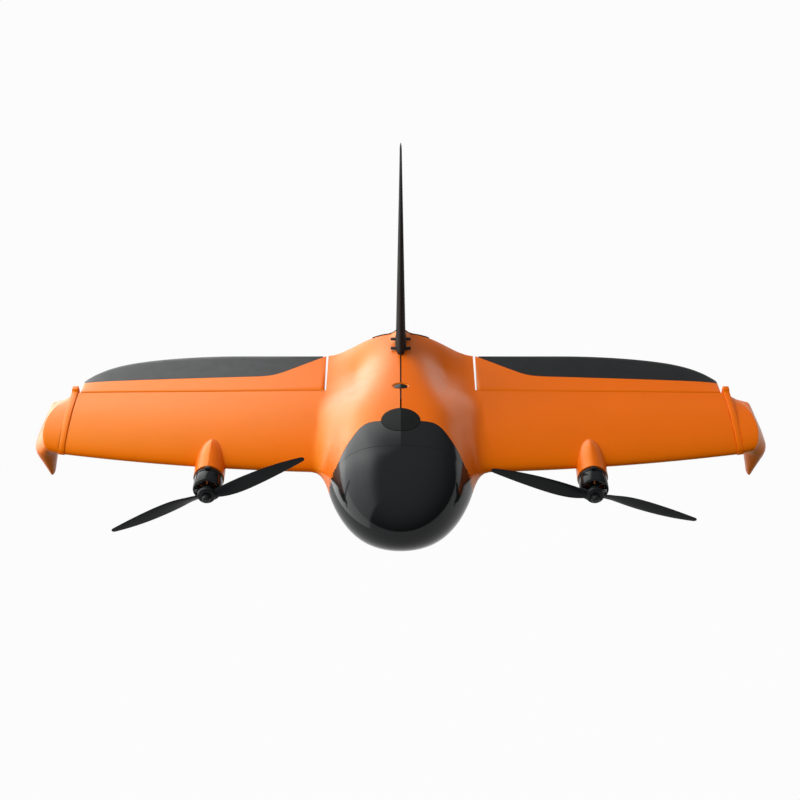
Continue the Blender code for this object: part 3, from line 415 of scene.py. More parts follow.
def hump_power(y):
    aft = clamp((y - NOSE_Y) / (TE_ROOT_Y - NOSE_Y), 0.0, 1.0)
    return HUMP_POWER_NOSE + (HUMP_POWER_TAIL - HUMP_POWER_NOSE) * aft


def upper_z(x, y):
    wing = wing_half_thickness(x, y, UPPER_SHARE)
    lift = hump(x, hump_power(y))
    return (wing + (crest_z(x, y) - wing) * lift) * front_rounding(x, y) + fin_fairing(x, y)


def waist(x, y):
    """How far the flanks rise above the plain hump: wider ahead of the fin, narrower beside its foot."""
    front, middle = WAIST_SPAN
    drawn = smooth((y - front) / (middle - front)) * smooth((TE_ROOT_Y - y) / (TE_ROOT_Y - middle))
    front, middle, rear = SWELL_SPAN
    swelled = smooth((y - front) / (middle - front)) * smooth((rear - y) / (rear - middle))
    power = hump_power(y)
    change = WAIST_SHARE * drawn * (hump(x / WAIST_WIDTH, power) - hump(x, power))
    change += swelled * (hump(x / SWELL_WIDTH, power) - hump(x, power))
    return change * (crest_z(x, y) - wing_half_thickness(x, y, UPPER_SHARE))


def formed(point, inner=False):
    """A body point with the waist let in above the chord plane, and the cavity's ceiling kept below it."""
    x, y, z = point - ORIGIN
    rise = waist(x, y)
    if inner and abs(x) < CAVITY_HALF + SLIVER:
        front, rear = CEILING_SPAN
        rise -= CEILING_DROP * smooth((y - front) / (rear - front)) * smooth(abs(x) / FAIRING_HALF - 1.0)
    return point + Vector((0.0, 0.0, rise * smooth(z / WAIST_FADE)))


def lower_z(x, y):
    wing = wing_half_thickness(x, y, 1.0 - UPPER_SHARE)
    keel = hermite(y, BELLY_REAR_Y, TE_ROOT_Y, BELLY_DEPTH, BELLY_TAIL, 0.0, BELLY_TAIL_SLOPE)
    deep = (wing + (keel - wing) * hump(x, BELLY_POWER)) * front_rounding(x, y)
    return -min(deep, BELLY_FLAT)


# Materials

def filled(node, sockets):
    """Set a node's inputs by name, with _ for a space."""
    for socket, value in sockets.items():
        node.inputs[socket.replace("_", " ")].default_value = value
    return node


def ramp_node(tree, source, stops):
    """A smooth run of colours, given as (position, colour)."""
    ramp = tree.nodes.new("ShaderNodeValToRGB")
    elements = ramp.color_ramp.elements
    while len(elements) < len(stops):
        elements.new(0.5)
    for element, (position, colour) in zip(elements, stops):
        element.position = position
        element.color = (*colour, 1.0)
    tree.links.new(source, ramp.inputs["Fac"])
    return ramp.outputs["Color"]


class Nodes:
    """A Principled material whose colour, roughness and surface come from procedural nodes."""

    def __init__(self, name, **sockets):
        self.material = bpy.data.materials.new(name)
        self.material.use_nodes = True
        self.tree = self.material.node_tree
        self.shader = filled(self.tree.nodes["Principled BSDF"], sockets)
        self.place = self.add("ShaderNodeTexCoord").outputs["Object"]

    def add(self, kind, **sockets):
        return filled(self.tree.nodes.new(kind), sockets)

    def link(self, source, target):
        self.tree.links.new(source, target)

    def noise(self, scale, detail):
        node = self.add("ShaderNodeTexNoise", Scale=scale, Detail=detail)
        self.link(self.place, node.inputs["Vector"])
        return node.outputs["Fac"]

    def colour(self, source, dark, light, low=0.3, high=0.7):
        shade = ramp_node(self.tree, source, ((low, dark), (high, light)))
        self.link(shade, self.shader.inputs["Base Color"])

    def roughen(self, source, rough):
        span = self.add("ShaderNodeMapRange", From_Min=0.3, From_Max=0.7, To_Min=rough[0], To_Max=rough[1])
        self.link(source, span.inputs["Value"])
        self.link(span.outputs["Result"], self.shader.inputs["Roughness"])

    def bump(self, source, depth):
        node = self.add("ShaderNodeBump", Distance=depth, Strength=1.0)
        self.link(source, node.inputs["Height"])
        self.link(node.outputs["Normal"], self.shader.inputs["Normal"])


def tinted(colour, factor):
    return tuple(factor * channel for channel in colour)


def painted(name, colour, rough, grain=900.0, depth=0.00002, spread=0.05, **sockets):
    """A finish with slow colour drift, patchy gloss and a fine moulded or sprayed grain."""
    made = Nodes(name, **sockets)
    made.colour(made.noise(9.0, 4.0), tinted(colour, 1.0 - spread), tinted(colour, 1.0 + spread))
    made.roughen(made.noise(55.0, 3.0), rough)
    made.bump(made.noise(grain, 2.0), depth)
    return made.material


def carbon_fibre(name):
    """Woven carbon under satin lacquer."""
    made = Nodes(name, Coat_Weight=0.4, Coat_Roughness=0.12)
    weave = made.add("ShaderNodeTexChecker", Scale=420.0)
    made.link(made.place, weave.inputs["Vector"])
    made.colour(weave.outputs["Fac"], (0.010, 0.011, 0.012), (0.028, 0.029, 0.031), 0.0, 1.0)
    made.roughen(made.noise(60.0, 3.0), (0.30, 0.44))
    made.bump(weave.outputs["Fac"], 0.00003)
    return made.material


def brushed(name, colour, rough):
    """Turned or drawn metal with fine streaks."""
    made = Nodes(name, Metallic=1.0)
    streaks = made.add("ShaderNodeTexNoise", Scale=300.0)
    stretch = made.add("ShaderNodeMapping", Scale=(1.0, 0.05, 1.0))
    made.link(made.place, stretch.inputs["Vector"])
    made.link(stretch.outputs["Vector"], streaks.inputs["Vector"])
    made.colour(streaks.outputs["Fac"], tinted(colour, 0.8), tinted(colour, 1.1))
    made.roughen(streaks.outputs["Fac"], rough)
    made.bump(streaks.outputs["Fac"], 0.00001)
    return made.material


ORANGE = painted("orange_paint", (0.90, 0.150, 0.001), (0.29, 0.36), grain=60.0, depth=0.00001, spread=0.025,
                 Specular_IOR_Level=0.40, Specular_Tint=(1.0, 0.98, 0.02, 1.0))
GLOSS = painted("black_gloss_shell", (0.0065, 0.0085, 0.0095), (0.08, 0.14), grain=1400.0, depth=0.000004,
                Specular_IOR_Level=0.27)
SATIN = painted("black_satin_plastic", (0.011, 0.013, 0.014), (0.30, 0.40), grain=1800.0, depth=0.00001,
                Specular_IOR_Level=0.20)
FIN = painted("fin_matt_black", (0.040, 0.042, 0.041), (0.55, 0.70), grain=1800.0, depth=0.00002,
              Specular_IOR_Level=0.01)
PAD = painted("soft_touch_black", (0.0050, 0.0062, 0.0060), (0.30, 0.40), grain=1800.0, depth=0.00001,
              Specular_IOR_Level=0.10)
BLADE = painted("blade_black", (0.0075, 0.009, 0.010), (0.30, 0.40), grain=1600.0, depth=0.00001,
                Specular_IOR_Level=0.16)
BLACK_STEEL = brushed("black_steel", (0.035, 0.036, 0.038), (0.29, 0.38))
RUBBER = painted("soft_rubber", (0.012, 0.012, 0.013), (0.68, 0.85), grain=1200.0, depth=0.00006)
INSIDE = painted("shell_inside", (0.020, 0.020, 0.022), (0.70, 0.90), grain=500.0, depth=0.00015)
CARBON = carbon_fibre("carbon_fibre")
STEEL = brushed("steel", (0.56, 0.57, 0.59), (0.29, 0.38))
COPPER = brushed("copper_wire", (0.62, 0.24, 0.09), (0.30, 0.42))
WRAP = painted("battery_wrap", (0.045, 0.10, 0.22), (0.28, 0.40), grain=200.0, depth=0.00010)
BOARD = painted("circuit_case", (0.050, 0.058, 0.066), (0.45, 0.60), grain=1500.0, depth=0.00003)
GLASS = painted("lens_glass", (0.012, 0.016, 0.022), (0.02, 0.05), grain=40.0, depth=0.000001,
                Coat_Weight=1.0, Coat_Roughness=0.02)

FINISHES = {"orange_skin": ORANGE, "black_gloss": GLOSS, "black_matt": SATIN, "rubber": RUBBER,
            "carbon": CARBON, "steel": STEEL, "copper": COPPER, "battery_wrap": WRAP,
            "circuit_case": BOARD, "glass": GLASS}


# Making pieces

def dress(made, nodes):
    """Ride a piece on the body of the CAD nodes that it stands for."""
    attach(made, NODES[nodes[0]]["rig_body"])
    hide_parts(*nodes)
    return made


def new_object(name, mesh):
    made = bpy.data.objects.new(name, mesh)
    bpy.context.scene.collection.objects.link(made)
    return made


def piece(name, bm, finish, nodes, place=Matrix.Translation(ORIGIN), smooth_angle=40.0):
    """Finish a bmesh as an object that stands for CAD nodes."""
    bmesh.ops.remove_doubles(bm, verts=bm.verts, dist=1e-6)
    bmesh.ops.recalc_face_normals(bm, faces=bm.faces)
    bm.transform(place)
    mesh = bpy.data.meshes.new(name)
    bm.to_mesh(mesh)
    bm.free()
    mesh.shade_smooth()
    mesh.set_sharp_from_angle(angle=math.radians(smooth_angle))
    mesh.materials.append(finish)
    return dress(new_object(name, mesh), nodes)


def loft(bm, loops):
    """Skin a row of closed loops and cap both ends."""
    rings = [[bm.verts.new(point) for point in loop] for loop in loops]
    count = len(rings[0])
    for near, far in zip(rings, rings[1:]):
        for i in range(count):
            j = (i + 1) % count
            bm.faces.new((near[i], near[j], far[j], far[i]))
    bm.faces.new(rings[0])
    bm.faces.new(rings[-1][::-1])
    return bm


def lathe(bm, profile, segments=96):
    """Revolve a closed profile of (radius, along) points round the Y axis."""
    rings = []
    for step in range(segments):
        angle = 2.0 * math.pi * step / segments
        rings.append([bm.verts.new((radius * math.cos(angle), along, radius * math.sin(angle)))
                      for radius, along in profile])
    count = len(profile)
    for step in range(segments):
        near = rings[step]
        far = rings[(step + 1) % segments]
        for i in range(count):
            j = (i + 1) % count
            if profile[i][0] < 1e-7 and profile[j][0] < 1e-7:
                continue
            bm.faces.new((near[i], near[j], far[j], far[i]))
    return bm


def box(bm, low, high, turn=0.0):
    """A block between two corners, turned round the Y axis."""
    made = bmesh.ops.create_cube(bm, size=1.0)["verts"]
    middle = 0.5 * (Vector(low) + Vector(high))
    size = Vector(high) - Vector(low)
    for vertex in made:
        vertex.co = middle + Vector(a * b for a, b in zip(vertex.co, size))
    bmesh.ops.rotate(bm, verts=made, cent=(0.0, 0.0, 0.0), matrix=Matrix.Rotation(turn, 3, "Y"))
    return made


class Skin:
    """A fine smooth net of rows of points, which finer copies of CAD solids are laid on."""

    def __init__(self, rows):
        wide = len(rows[0])
        self.points = [Vector(point) + ORIGIN for row in rows for point in row]
        self.faces = []
        for row in range(len(rows) - 1):
            for i in range(row * wide, row * wide + wide - 1):
                self.faces.append((i, i + 1, i + wide + 1, i + wide))
        self.tree = BVHTree.FromPolygons(self.points, self.faces)
        mesh = bpy.data.meshes.new("skin")
        mesh.from_pydata([formed(point) for point in self.points], [], self.faces)
        self.normals = [vertex.normal.copy() for vertex in mesh.vertices]
        bpy.data.meshes.remove(mesh)

    def nearest(self, point):
        spot, _, index, distance = self.tree.find_nearest(point)
        corners = self.faces[index]
        weights = poly_3d_calc([self.points[corner] for corner in corners], spot)
        normal = Vector()
        for corner, weight in zip(corners, weights):
            normal += weight * self.normals[corner]
        return spot, normal.normalized(), distance


def nose_stations(front, crest, steps):
    """Stations from a round front to the crest, closest at the front."""
    return [crest - (crest - front) * math.cos(angle) for angle in spaced(0.0, 0.5 * math.pi, steps)]


def body_stations(x, rear):
    """Close stations along one section of the blended body."""
    front = leading_edge(x)
    crest = thickest_y(x)
    knee = 0.5 * (crest + rear)
    return nose_stations(front, crest, 30) + spaced(crest, knee, 20)[1:] + spaced(knee, rear, 26)[1:]


def body_skin(side):
    across = [FILLET_X * math.sin(0.5 * math.pi * i / 44) for i in range(45)]
    across += spaced(FILLET_X, WING_ROOT_X, 20)[1:] + spaced(WING_ROOT_X, SEAM_X, 44)[1:]
    rows = []
    for x in across:
        stations = body_stations(x, TE_ROOT_Y)
        upper = [(side * x, y, upper_z(x, y)) for y in reversed(stations)]
        lower = [(side * x, y, lower_z(x, y)) for y in stations[1:]]
        rows.append(upper + lower)
    return Skin(rows if side > 0 else rows[::-1])


def nacelle_skin(name, side):
    """One side of a nacelle, left or right of its ridge."""
    centre = MOTOR_X if name == "left" else -MOTOR_X
    rows = []
    for share in spaced(0.0, 1.0, 60):
        radius = NACELLE_RADIUS * math.sqrt(1.0 - (NACELLE_END_SHARE * share) ** NACELLE_POWER)
        y = NACELLE_FRONT_Y + share * NACELLE_LENGTH
        row = []
        for angle in spaced(0.0, math.pi, 40):
            above = max(0.0, 1.0 - angle / (0.5 * math.pi))
            swell = 1.0 + (NACELLE_RIDGE_SHARE + NACELLE_RISE_SHARE * share * share) * above
            across = side * radius * math.sin(angle)
            row.append((centre + across, y, MOTOR_Z + radius * swell * math.cos(angle)))
        rows.append(row)
    return Skin(rows if side > 0 else rows[::-1])


def cut_finer(points, triangles, step):
    """Halve the long edges of marked triangles, and split their neighbours to match, down to step."""
    while True:
        long = set()
        for a, b, c, outer in triangles:
            if outer:
                long.update(tuple(sorted(pair)) for pair in ((a, b), (b, c), (c, a))
                            if (points[pair[0]] - points[pair[1]]).length > step)
        if not long:
            return triangles
        middle = {}
        for i, j in long:
            middle[(i, j)] = len(points)
            points.append(0.5 * (points[i] + points[j]))
        finer = []
        for a, b, c, outer in triangles:
            for _ in range(3):
                ab, bc, ca = (middle.get(tuple(sorted(pair))) for pair in ((a, b), (b, c), (c, a)))
                if ca is None and (ab is not None or bc is None):
                    break
                if ab is not None and bc is not None and ca is not None:
                    break
                a, b, c = b, c, a
            if ab is None:
                corners = [(a, b, c)]
            elif bc is None:
                corners = [(a, ab, c), (ab, b, c)]
            elif ca is None and (points[a] - points[bc]).length < (points[ab] - points[c]).length:
                corners = [(ab, b, bc), (a, ab, bc), (a, bc, c)]
            elif ca is None:
                corners = [(ab, b, bc), (a, ab, c), (ab, bc, c)]
            else:
                corners = [(a, ab, ca), (ab, b, bc), (ca, bc, c), (ab, bc, ca)]
            finer += [(*three, outer) for three in corners]
        triangles = finer


def welded(node):
    """A CAD node's points and triangles, with doubled points joined."""
    bm = bmesh.new()
    bm.from_mesh(NODES[node].data)
    bmesh.ops.remove_doubles(bm, verts=bm.verts, dist=1e-6)
    bmesh.ops.triangulate(bm, faces=bm.faces)
    bm.verts.index_update()
    points = [vertex.co.copy() for vertex in bm.verts]
    triangles = [tuple(vertex.index for vertex in face.verts) for face in bm.faces]
    bm.free()
    return points, triangles


def refined(name, node, skins, finish, centre=0.0, step=0.009, reach=0.0012, lift=0.0, inside=None):
    """A finer copy of a CAD solid: faces on the outer skin are cut up and laid on the smooth surface."""
    points, triangles = welded(node)
    marked = []
    for three in triangles:
        a, b, c = (points[i] for i in three)
        middle = (a + b + c) / 3.0
        skin = skins[middle.x > centre]
        near = all(skin.nearest(point)[2] < reach for point in (a, b, c))
        across = (b - a).cross(c - a)
        sliver = across.length < SLIVER * max((b - a).length, (c - b).length, (a - c).length)
        facing = across.normalized().dot(skin.nearest(middle)[1]) > FACING
        marked.append((*three, near and (facing or sliver)))
    marked = cut_finer(points, marked, step)
    sides = {}
    for a, b, c, outer in marked:
        if outer:
            middle = (points[a] + points[b] + points[c]) / 3.0
            sides.update((i, middle.x > centre) for i in (a, b, c))
    for i, side in sides.items():
        spot, normal, _ = skins[side].nearest(points[i])
        points[i] = spot + lift * normal
    mesh = bpy.data.meshes.new(name)
    places = [formed(point, i not in sides) for i, point in enumerate(points)]
    mesh.from_pydata(places, [], [three[:3] for three in marked])
    mesh.shade_smooth()
    mesh.materials.append(finish)
    if inside is not None:
        mesh.materials.append(inside)
    normals = []
    for polygon, three in zip(mesh.polygons, marked):
        skin = skins[polygon.center.x > centre]
        outer = three[3]
        for corner in polygon.vertices:
            normals.append(skin.nearest(points[corner])[1] if outer else polygon.normal.copy())
        hidden = not outer and abs(polygon.center.x) < CAVITY_HALF
        polygon.material_index = int(hidden and inside is not None)
    mesh.normals_split_custom_set(normals)
    return dress(new_object(name, mesh), [node])


# Skins of shells, nose and pads

def shells():
    skins = (body_skin(-1.0), body_skin(1.0))
    for side in ("left", "right"):
        node = side + "_half_shell"
        refined(node + "_skin", node, skins, ORANGE, inside=INSIDE)
    refined("nose_dome_skin", "nose_dome", skins, GLOSS, step=0.007, reach=0.004,
            inside=INSIDE)
    refined("nose_hatch_skin", "nose_hatch", skins, GLOSS, step=0.007, inside=INSIDE)
    refined("nose_chin_skin", "nose_chin", skins, SATIN, step=0.007, inside=INSIDE)
    refined("hatch_latch_skin", "hatch_latch", skins, PAD, step=0.004, lift=PAD_PROUD)


def oval(name, profile, finish, node):
    """A turned shape stretched over a node's oval and laid on the crest, with the node's flat foot."""
    low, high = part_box(node)
    half = 0.5 * (Vector(high) - Vector(low))
    middle = 0.5 * (high[1] + low[1]) - ORIGIN.y
    bm = lathe(bmesh.new(), profile)
    for vertex in bm.verts:
        across, up, along = vertex.co
        x = across * half.x
        y = middle + along * half.y
        vertex.co = (x, y, max(upper_z(x, y) + up, low[2] - ORIGIN.z))
    piece(name, bm, finish, [node])


def power_button():
    """A rim dished into the skin round a low domed button."""
    low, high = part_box("button_bezel")
    button_low, button_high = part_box("power_button")
    inner = max((button_high[i] - button_low[i] + 2.0 * BEZEL_CLEAR) / (high[i] - low[i]) for i in (0, 1))
    depth = high[2] - low[2]
    rim = [(1.0, -depth), (1.0, 0.0), (0.5 + 0.5 * inner, -BEZEL_CURVE_SHARE * BEZEL_DISH),
           (inner, -BEZEL_DISH), (inner, -depth)]
    oval("button_bezel_rim", rim, ORANGE, "button_bezel")
    dome = []
    for angle in spaced(0.0, 0.5 * math.pi, 8):
        dome.append((math.sin(angle), BUTTON_DOME * math.cos(angle) - BEZEL_DISH))
    oval("power_button_cap", dome + [(1.0, -depth), (0.0, -depth)], GLOSS, "power_button")


def nacelles():
    for side in ("left", "right"):
        centre = MOTOR_X if side == "left" else -MOTOR_X
        skins = (nacelle_skin(side, -1.0), nacelle_skin(side, 1.0))
        node = side + "_nacelle"
        refined(node + "_skin", node, skins, ORANGE, centre=centre, step=0.004, reach=0.0015)


# Elevons

def edge_line(x):
    """Where the black trailing strip starts: nearly straight, running out to the tail inboard."""
    ramp = TE_ROOT_Y - EDGE_RAMP * (abs(x) - ELEVON_IN)
    out = (abs(x) - TE_BEND_X) / (ELEVON_OUT - TE_BEND_X)
    line = EDGE_IN_Y + (EDGE_OUT_Y - EDGE_IN_Y) * out
    return line + EDGE_SOFT * math.log(1.0 + math.exp((ramp - line) / EDGE_SOFT))


def elevon_half(x, y):
    half = hinge_half(x)
    return half + (TE_HALF - half) * clamp(y / trailing_edge(x), 0.0, 1.0)


def shrunk(loop, by):
    """A loop drawn in towards its own middle, for a rounded end."""
    middle = sum((Vector(point) for point in loop), Vector()) / len(loop)
    return [Vector(point) + (middle - Vector(point)).normalized() * by for point in loop]


def end_rounded(stations, section):
    """Loops along x with softly rounded first and last ends."""
    first = stations[0]
    last = stations[-1]

    def end(at, inward):
        return [shrunk(section(at + inward * share * END_ROUND), END_ROUND * (1.0 - share) ** 2)
                for share in (0.0, 0.35)]

    inner = [x for x in stations[1:-1] if first + END_ROUND < x < last - END_ROUND]
    middle = [section(x) for x in [first + END_ROUND] + inner + [last - END_ROUND]]
    return end(first, 1.0) + middle + end(last, -1.0)[::-1]


def elevon(side, sign):
    """The orange front part, with its round nose in the wing's cove."""
    def section(x):
        radius = hinge_half(x)
        rear = min(edge_line(x), trailing_edge(x))
        nose = []
        for angle in spaced(0.0, math.pi, 36):
            inward = smooth(min(angle, math.pi - angle) / HINGE_GROOVE_TURN)
            round_off = radius - HINGE_GROOVE * inward
            nose.append((-round_off * math.sin(angle), round_off * math.cos(angle)))
        along = spaced(0.0, rear, 8)[1:]
        under = [(y, -elevon_half(x, y)) for y in along]
        above = [(y, elevon_half(x, y)) for y in reversed(along)]
        return [(sign * x, y, z) for y, z in nose + under + above]

    bm = loft(bmesh.new(), end_rounded(spaced(ELEVON_IN, ELEVON_OUT, 70), section))
    piece(side + "_elevon_skin", bm, ORANGE, [side + "_elevon"])


def elevon_strip(side, sign):
    """The black trailing part, down to its thin rounded edge."""
    def section(x):
        front = edge_line(x) + EDGE_GAP
        rear = trailing_edge(x)
        along = spaced(front, rear - TE_HALF, 8)
        above = [(y, elevon_half(x, y)) for y in along]
        tip = [(rear - TE_HALF + TE_HALF * math.sin(angle), TE_HALF * math.cos(angle))
               for angle in spaced(0.0, math.pi, 6)[1:-1]]
        under = [(y, -elevon_half(x, y)) for y in reversed(along)]
        return [(sign * x, y, z) for y, z in above + tip + under]

    wide = [x for x in spaced(ELEVON_IN, ELEVON_OUT, 400) if trailing_edge(x) - edge_line(x) > EDGE_MIN]
    bm = loft(bmesh.new(), end_rounded(spaced(wide[0], wide[-1], 70), section))
    piece(side + "_elevon_edge_skin", bm, SATIN, [side + "_elevon_edge"])


# Wing tips

def tip_rib(side, sign):
    """A proud strip round the section, with soft shoulders and a groove inboard, kicked up at its end."""
    rounding = []
    for share in (0.0, 0.25, 1.0):
        rounding.append((share * RIB_ROUND, RIB_ROUND * (1.0 - math.sqrt(1.0 - (1.0 - share) ** 2))))
    profile = [(0.0, -RIB_GROOVE_DEPTH), (RIB_GROOVE, -RIB_GROOVE_DEPTH)]
    profile += [(RIB_GROOVE + across, RIB_PROUD - drop) for across, drop in rounding]
    profile += [(RIB_WIDTH - across, RIB_PROUD - drop) for across, drop in reversed(rounding)]
    loops = []
    for across, proud in profile:
        x = SEAM_X + across
        front = wing_leading_edge(x) - proud
        crest = thickest_y(x)
        nub_start = RIB_REAR_Y - RIB_NUB_LENGTH
        stations = nose_stations(front, crest, 20) + spaced(crest, nub_start, 16)[1:]
        stations += spaced(nub_start, RIB_REAR_Y + proud - RIB_PROUD, 10)[1:]
        upper = []
        for y in stations:
            kick = RIB_NUB_HEIGHT * smooth((y - nub_start) / RIB_NUB_RAMP)
            upper.append((sign * x, y, upper_z(x, y) + proud + kick))
        lower = [(sign * x, y, lower_z(x, y) - proud) for y in stations]
        loops.append(upper + lower[::-1])
    piece(side + "_tip_rib_skin", loft(bmesh.new(), loops), ORANGE, [side + "_tip_rib"])


def blended(first, second, share):
    return tuple(a.lerp(b, share) if isinstance(a, Vector) else a + (b - a) * share
                 for a, b in zip(first, second))


def winglet_stations():
    """Root, brow, crease, shoulder and toe, with the bends between them softly rounded."""
    root_x = SEAM_X + RIB_WIDTH
    toe_x = HALF_SPAN - WINGLET_LEAN
    front = wing_leading_edge(root_x)
    crest = thickest_y(root_x)
    top = upper_z(root_x, crest)
    bottom = lower_z(root_x, crest)
    toe = -WINGLET_DROP
    crease = Vector((HALF_SPAN - WINGLET_BEVEL, top - WINGLET_CREASE_FALL))
    shoulder = Vector((HALF_SPAN, WINGLET_SHOULDER_Z))
    leg = root_x + WINGLET_LEG_INSET
    corners = [
        (Vector((root_x, top)), Vector((root_x, bottom)), Vector((root_x, 0.5 * (top + bottom))),
         front, WINGLET_ROOT_REAR_Y),
        (crease + Vector((-WINGLET_BROW_INSET, WINGLET_BROW_RISE)), Vector((0.5 * (root_x + leg), bottom)),
         Vector((root_x + WINGLET_BROW_REAR, 0.0)), front + 0.5 * WINGLET_CREASE_SWEEP,
         0.5 * (WINGLET_ROOT_REAR_Y + WINGLET_CREASE_REAR_Y)),
        (crease, Vector((leg, bottom)), Vector((crease.x, 0.0)),
         front + WINGLET_CREASE_SWEEP, WINGLET_CREASE_REAR_Y),
        (shoulder, Vector((leg, 2.0 * bottom)), shoulder - Vector((WINGLET_REAR_BEVEL, 0.0)),
         front + WINGLET_SHOULDER_SWEEP, WINGLET_SHOULDER_REAR_Y),
        (Vector((toe_x + WINGLET_TOE_HALF, toe)), Vector((toe_x - WINGLET_TOE_HALF, toe)),
         Vector((toe_x, toe)), front + WINGLET_TOE_SWEEP, WINGLET_TOE_REAR_Y),
    ]
    made = [corners[0]]
    for i, soft in WINGLET_ROUNDING.items():
        before = blended(corners[i], corners[i - 1], soft)
        after = blended(corners[i], corners[i + 1], soft)
        made += [blended(made[-1], before, share) for share in (0.25, 0.5, 0.75)]
        for share in spaced(0.0, 1.0, 5):
            bend = (blended(before, corners[i], share), blended(corners[i], after, share))
            made.append(blended(*bend, share))
    made += [blended(made[-1], corners[4], share) for share in (0.3, 0.6, 0.85, 0.95, 1.0)]
    return made


def winglet(side, sign):
    loops = []
    for outside, inside, behind, start, rear in winglet_stations():
        middle = 0.5 * (outside + inside)
        thick_at = start + WINGLET_THICK_AT * (rear - start)
        upper = []
        lower = []
        for angle in spaced(0.0, 0.5 * math.pi, 16):
            share = 1.0 - math.cos(angle)
            fat = math.sqrt(1.0 - (1.0 - share) ** 2)
            y = start + share * (thick_at - start)
            upper.append((middle.lerp(outside, fat), y))
            lower.append((middle.lerp(inside, fat), y))
        for share in spaced(0.0, 1.0, 14)[1:]:
            slim = WINGLET_TAPER * share * share
            y = thick_at + share * (rear - thick_at)
            upper.append((outside.lerp(behind, slim), y))
            lower.append((inside.lerp(behind, slim), y))
        loops.append([(sign * spot.x, y, spot.y) for spot, y in upper + lower[:0:-1]])
    piece(side + "_winglet_skin", loft(bmesh.new(), loops), ORANGE, [side + "_winglet"],
          smooth_angle=50.0)


# Motors and propellers

def motor_box(side, part):
    """Front and rear of a motor part along Y, in the wing frame, and its largest radius."""
    low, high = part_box(side + part)
    return low[1] - ORIGIN.y, high[1] - ORIGIN.y, 0.5 * (high[0] - low[0])


def motor_place(sign, turn=0.0):
    axis = ORIGIN + Vector((sign * MOTOR_X, 0.0, MOTOR_Z))
    return Matrix.Translation(axis) @ Matrix.Rotation(turn, 4, "Y")


def soft_box(bm, low, high, turn, edge, segments):
    """A block between two corners, turned round the Y axis, with rounded edges."""
    made = box(bm, low, high, turn)
    edges = dict.fromkeys(line for vertex in made for line in vertex.link_edges)
    bmesh.ops.bevel(bm, geom=list(edges), offset=edge, segments=segments, affect="EDGES", profile=0.5)


def motor_mount(side, sign):
    """A ring with a nub on top."""
    front, rear, _ = motor_box(side, "_motor_mount")
    radius = MOUNT_RADIUS
    edge = MOUNT_EDGE
    bm = lathe(bmesh.new(), [(SHAFT_BORE, rear), (radius - edge, rear), (radius, rear - edge),
                             (radius, front + edge), (radius - edge, front), (SHAFT_BORE, front)])
    soft_box(bm, (-MOUNT_NUB_HALF, front, 0.5 * radius), (MOUNT_NUB_HALF, rear, radius + MOUNT_NUB_RISE),
             0.0, MOUNT_NUB_EDGE, 3)
    piece(side + "_motor_mount_ring", bm, SATIN, [side + "_motor_mount"], motor_place(sign))


def coil(front, rear, outer):
    """Rings of one winding up a tooth, ribbed turn by turn and wider towards the outside."""
    rings = []
    for i, out in enumerate(spaced(STATOR_CORE, outer, COIL_STEPS)):
        rib = COIL_RIB * (i % 2)
        half = COIL_HALF + COIL_FLARE * (out - STATOR_CORE) + rib
        near = front + COIL_INSET - rib
        far = rear - COIL_INSET + rib
        corners = [(half, near + half), (0.5 * half, near), (-0.5 * half, near), (-half, near + half),
                   (-half, far - half), (-0.5 * half, far), (0.5 * half, far), (half, far - half)]
        rings.append([Vector((x, y, out)) for x, y in corners])
    return rings


def motor_stator(side, sign):
    """Laminated teeth wound with copper."""
    front, rear, radius = motor_box(side, "_motor_stator")
    foot = radius - TOOTH_THICK
    coils = bmesh.new()
    core = lathe(bmesh.new(), [(SHAFT_BORE, rear), (STATOR_CORE, rear),
                               (STATOR_CORE, front), (SHAFT_BORE, front)])
    for tooth in range(STATOR_TEETH):
        turn = 2.0 * math.pi * tooth / STATOR_TEETH
        spin = Matrix.Rotation(turn, 3, "Y")
        loft(coils, [[spin @ point for point in ring] for ring in coil(front, rear, foot)])
        box(core, (-TOOTH_HALF, front + TOOTH_INSET, foot),
            (TOOTH_HALF, rear - TOOTH_INSET, radius - TOOTH_GAP), turn)
    piece(side + "_stator_coils", coils, COPPER, [side + "_motor_stator"], motor_place(sign))
    piece(side + "_stator_core", core, STEEL, [side + "_motor_stator"], motor_place(sign))


def motor_bell(side, sign):
    """Magnet ring with a spoked front plate and a centre boss."""
    front, rear, radius = motor_box(side, "_motor_bell")
    edge = BELL_EDGE
    inner = radius - BELL_WALL
    face = front + BOSS_LENGTH
    back = face + BELL_PLATE
    bm = lathe(bmesh.new(), [(inner, rear - edge), (inner + edge, rear), (radius - edge, rear),
                             (radius, rear - edge), (radius, face + 2.0 * edge),
                             (radius - edge, face + 0.5 * edge), (radius - 2.2 * edge, face), (inner, face)])
    lathe(bm, [(SHAFT_BORE, front), (BOSS_RADIUS - BOSS_EDGE, front), (BOSS_RADIUS, front + BOSS_EDGE),
               (BOSS_RADIUS, face - edge), (BOSS_FOOT, face + SPOKE_FRONT), (BOSS_FOOT, back),
               (SHAFT_BORE, back)])
    for spoke in range(SPOKES):
        turn = 2.0 * math.pi * (spoke + 0.5) / SPOKES
        soft_box(bm, (-SPOKE_HALF, face + SPOKE_FRONT, BOSS_RADIUS),
                 (SPOKE_HALF, face + SPOKE_REAR, inner + SPOKE_LAP), turn, SPOKE_EDGE, 2)
    piece(side + "_bell_shell", bm, GLOSS, [side + "_motor_bell"], motor_place(sign))
    magnets = bmesh.new()
    for i in range(MAGNETS):
        box(magnets, (-MAGNET_HALF, back + MAGNET_FRONT, inner - MAGNET_THICK),
            (MAGNET_HALF, rear - MAGNET_REAR, inner + MAGNET_LAP), 2.0 * math.pi * i / MAGNETS)
    piece(side + "_bell_magnets", magnets, STEEL, [side + "_motor_bell"], motor_place(sign))


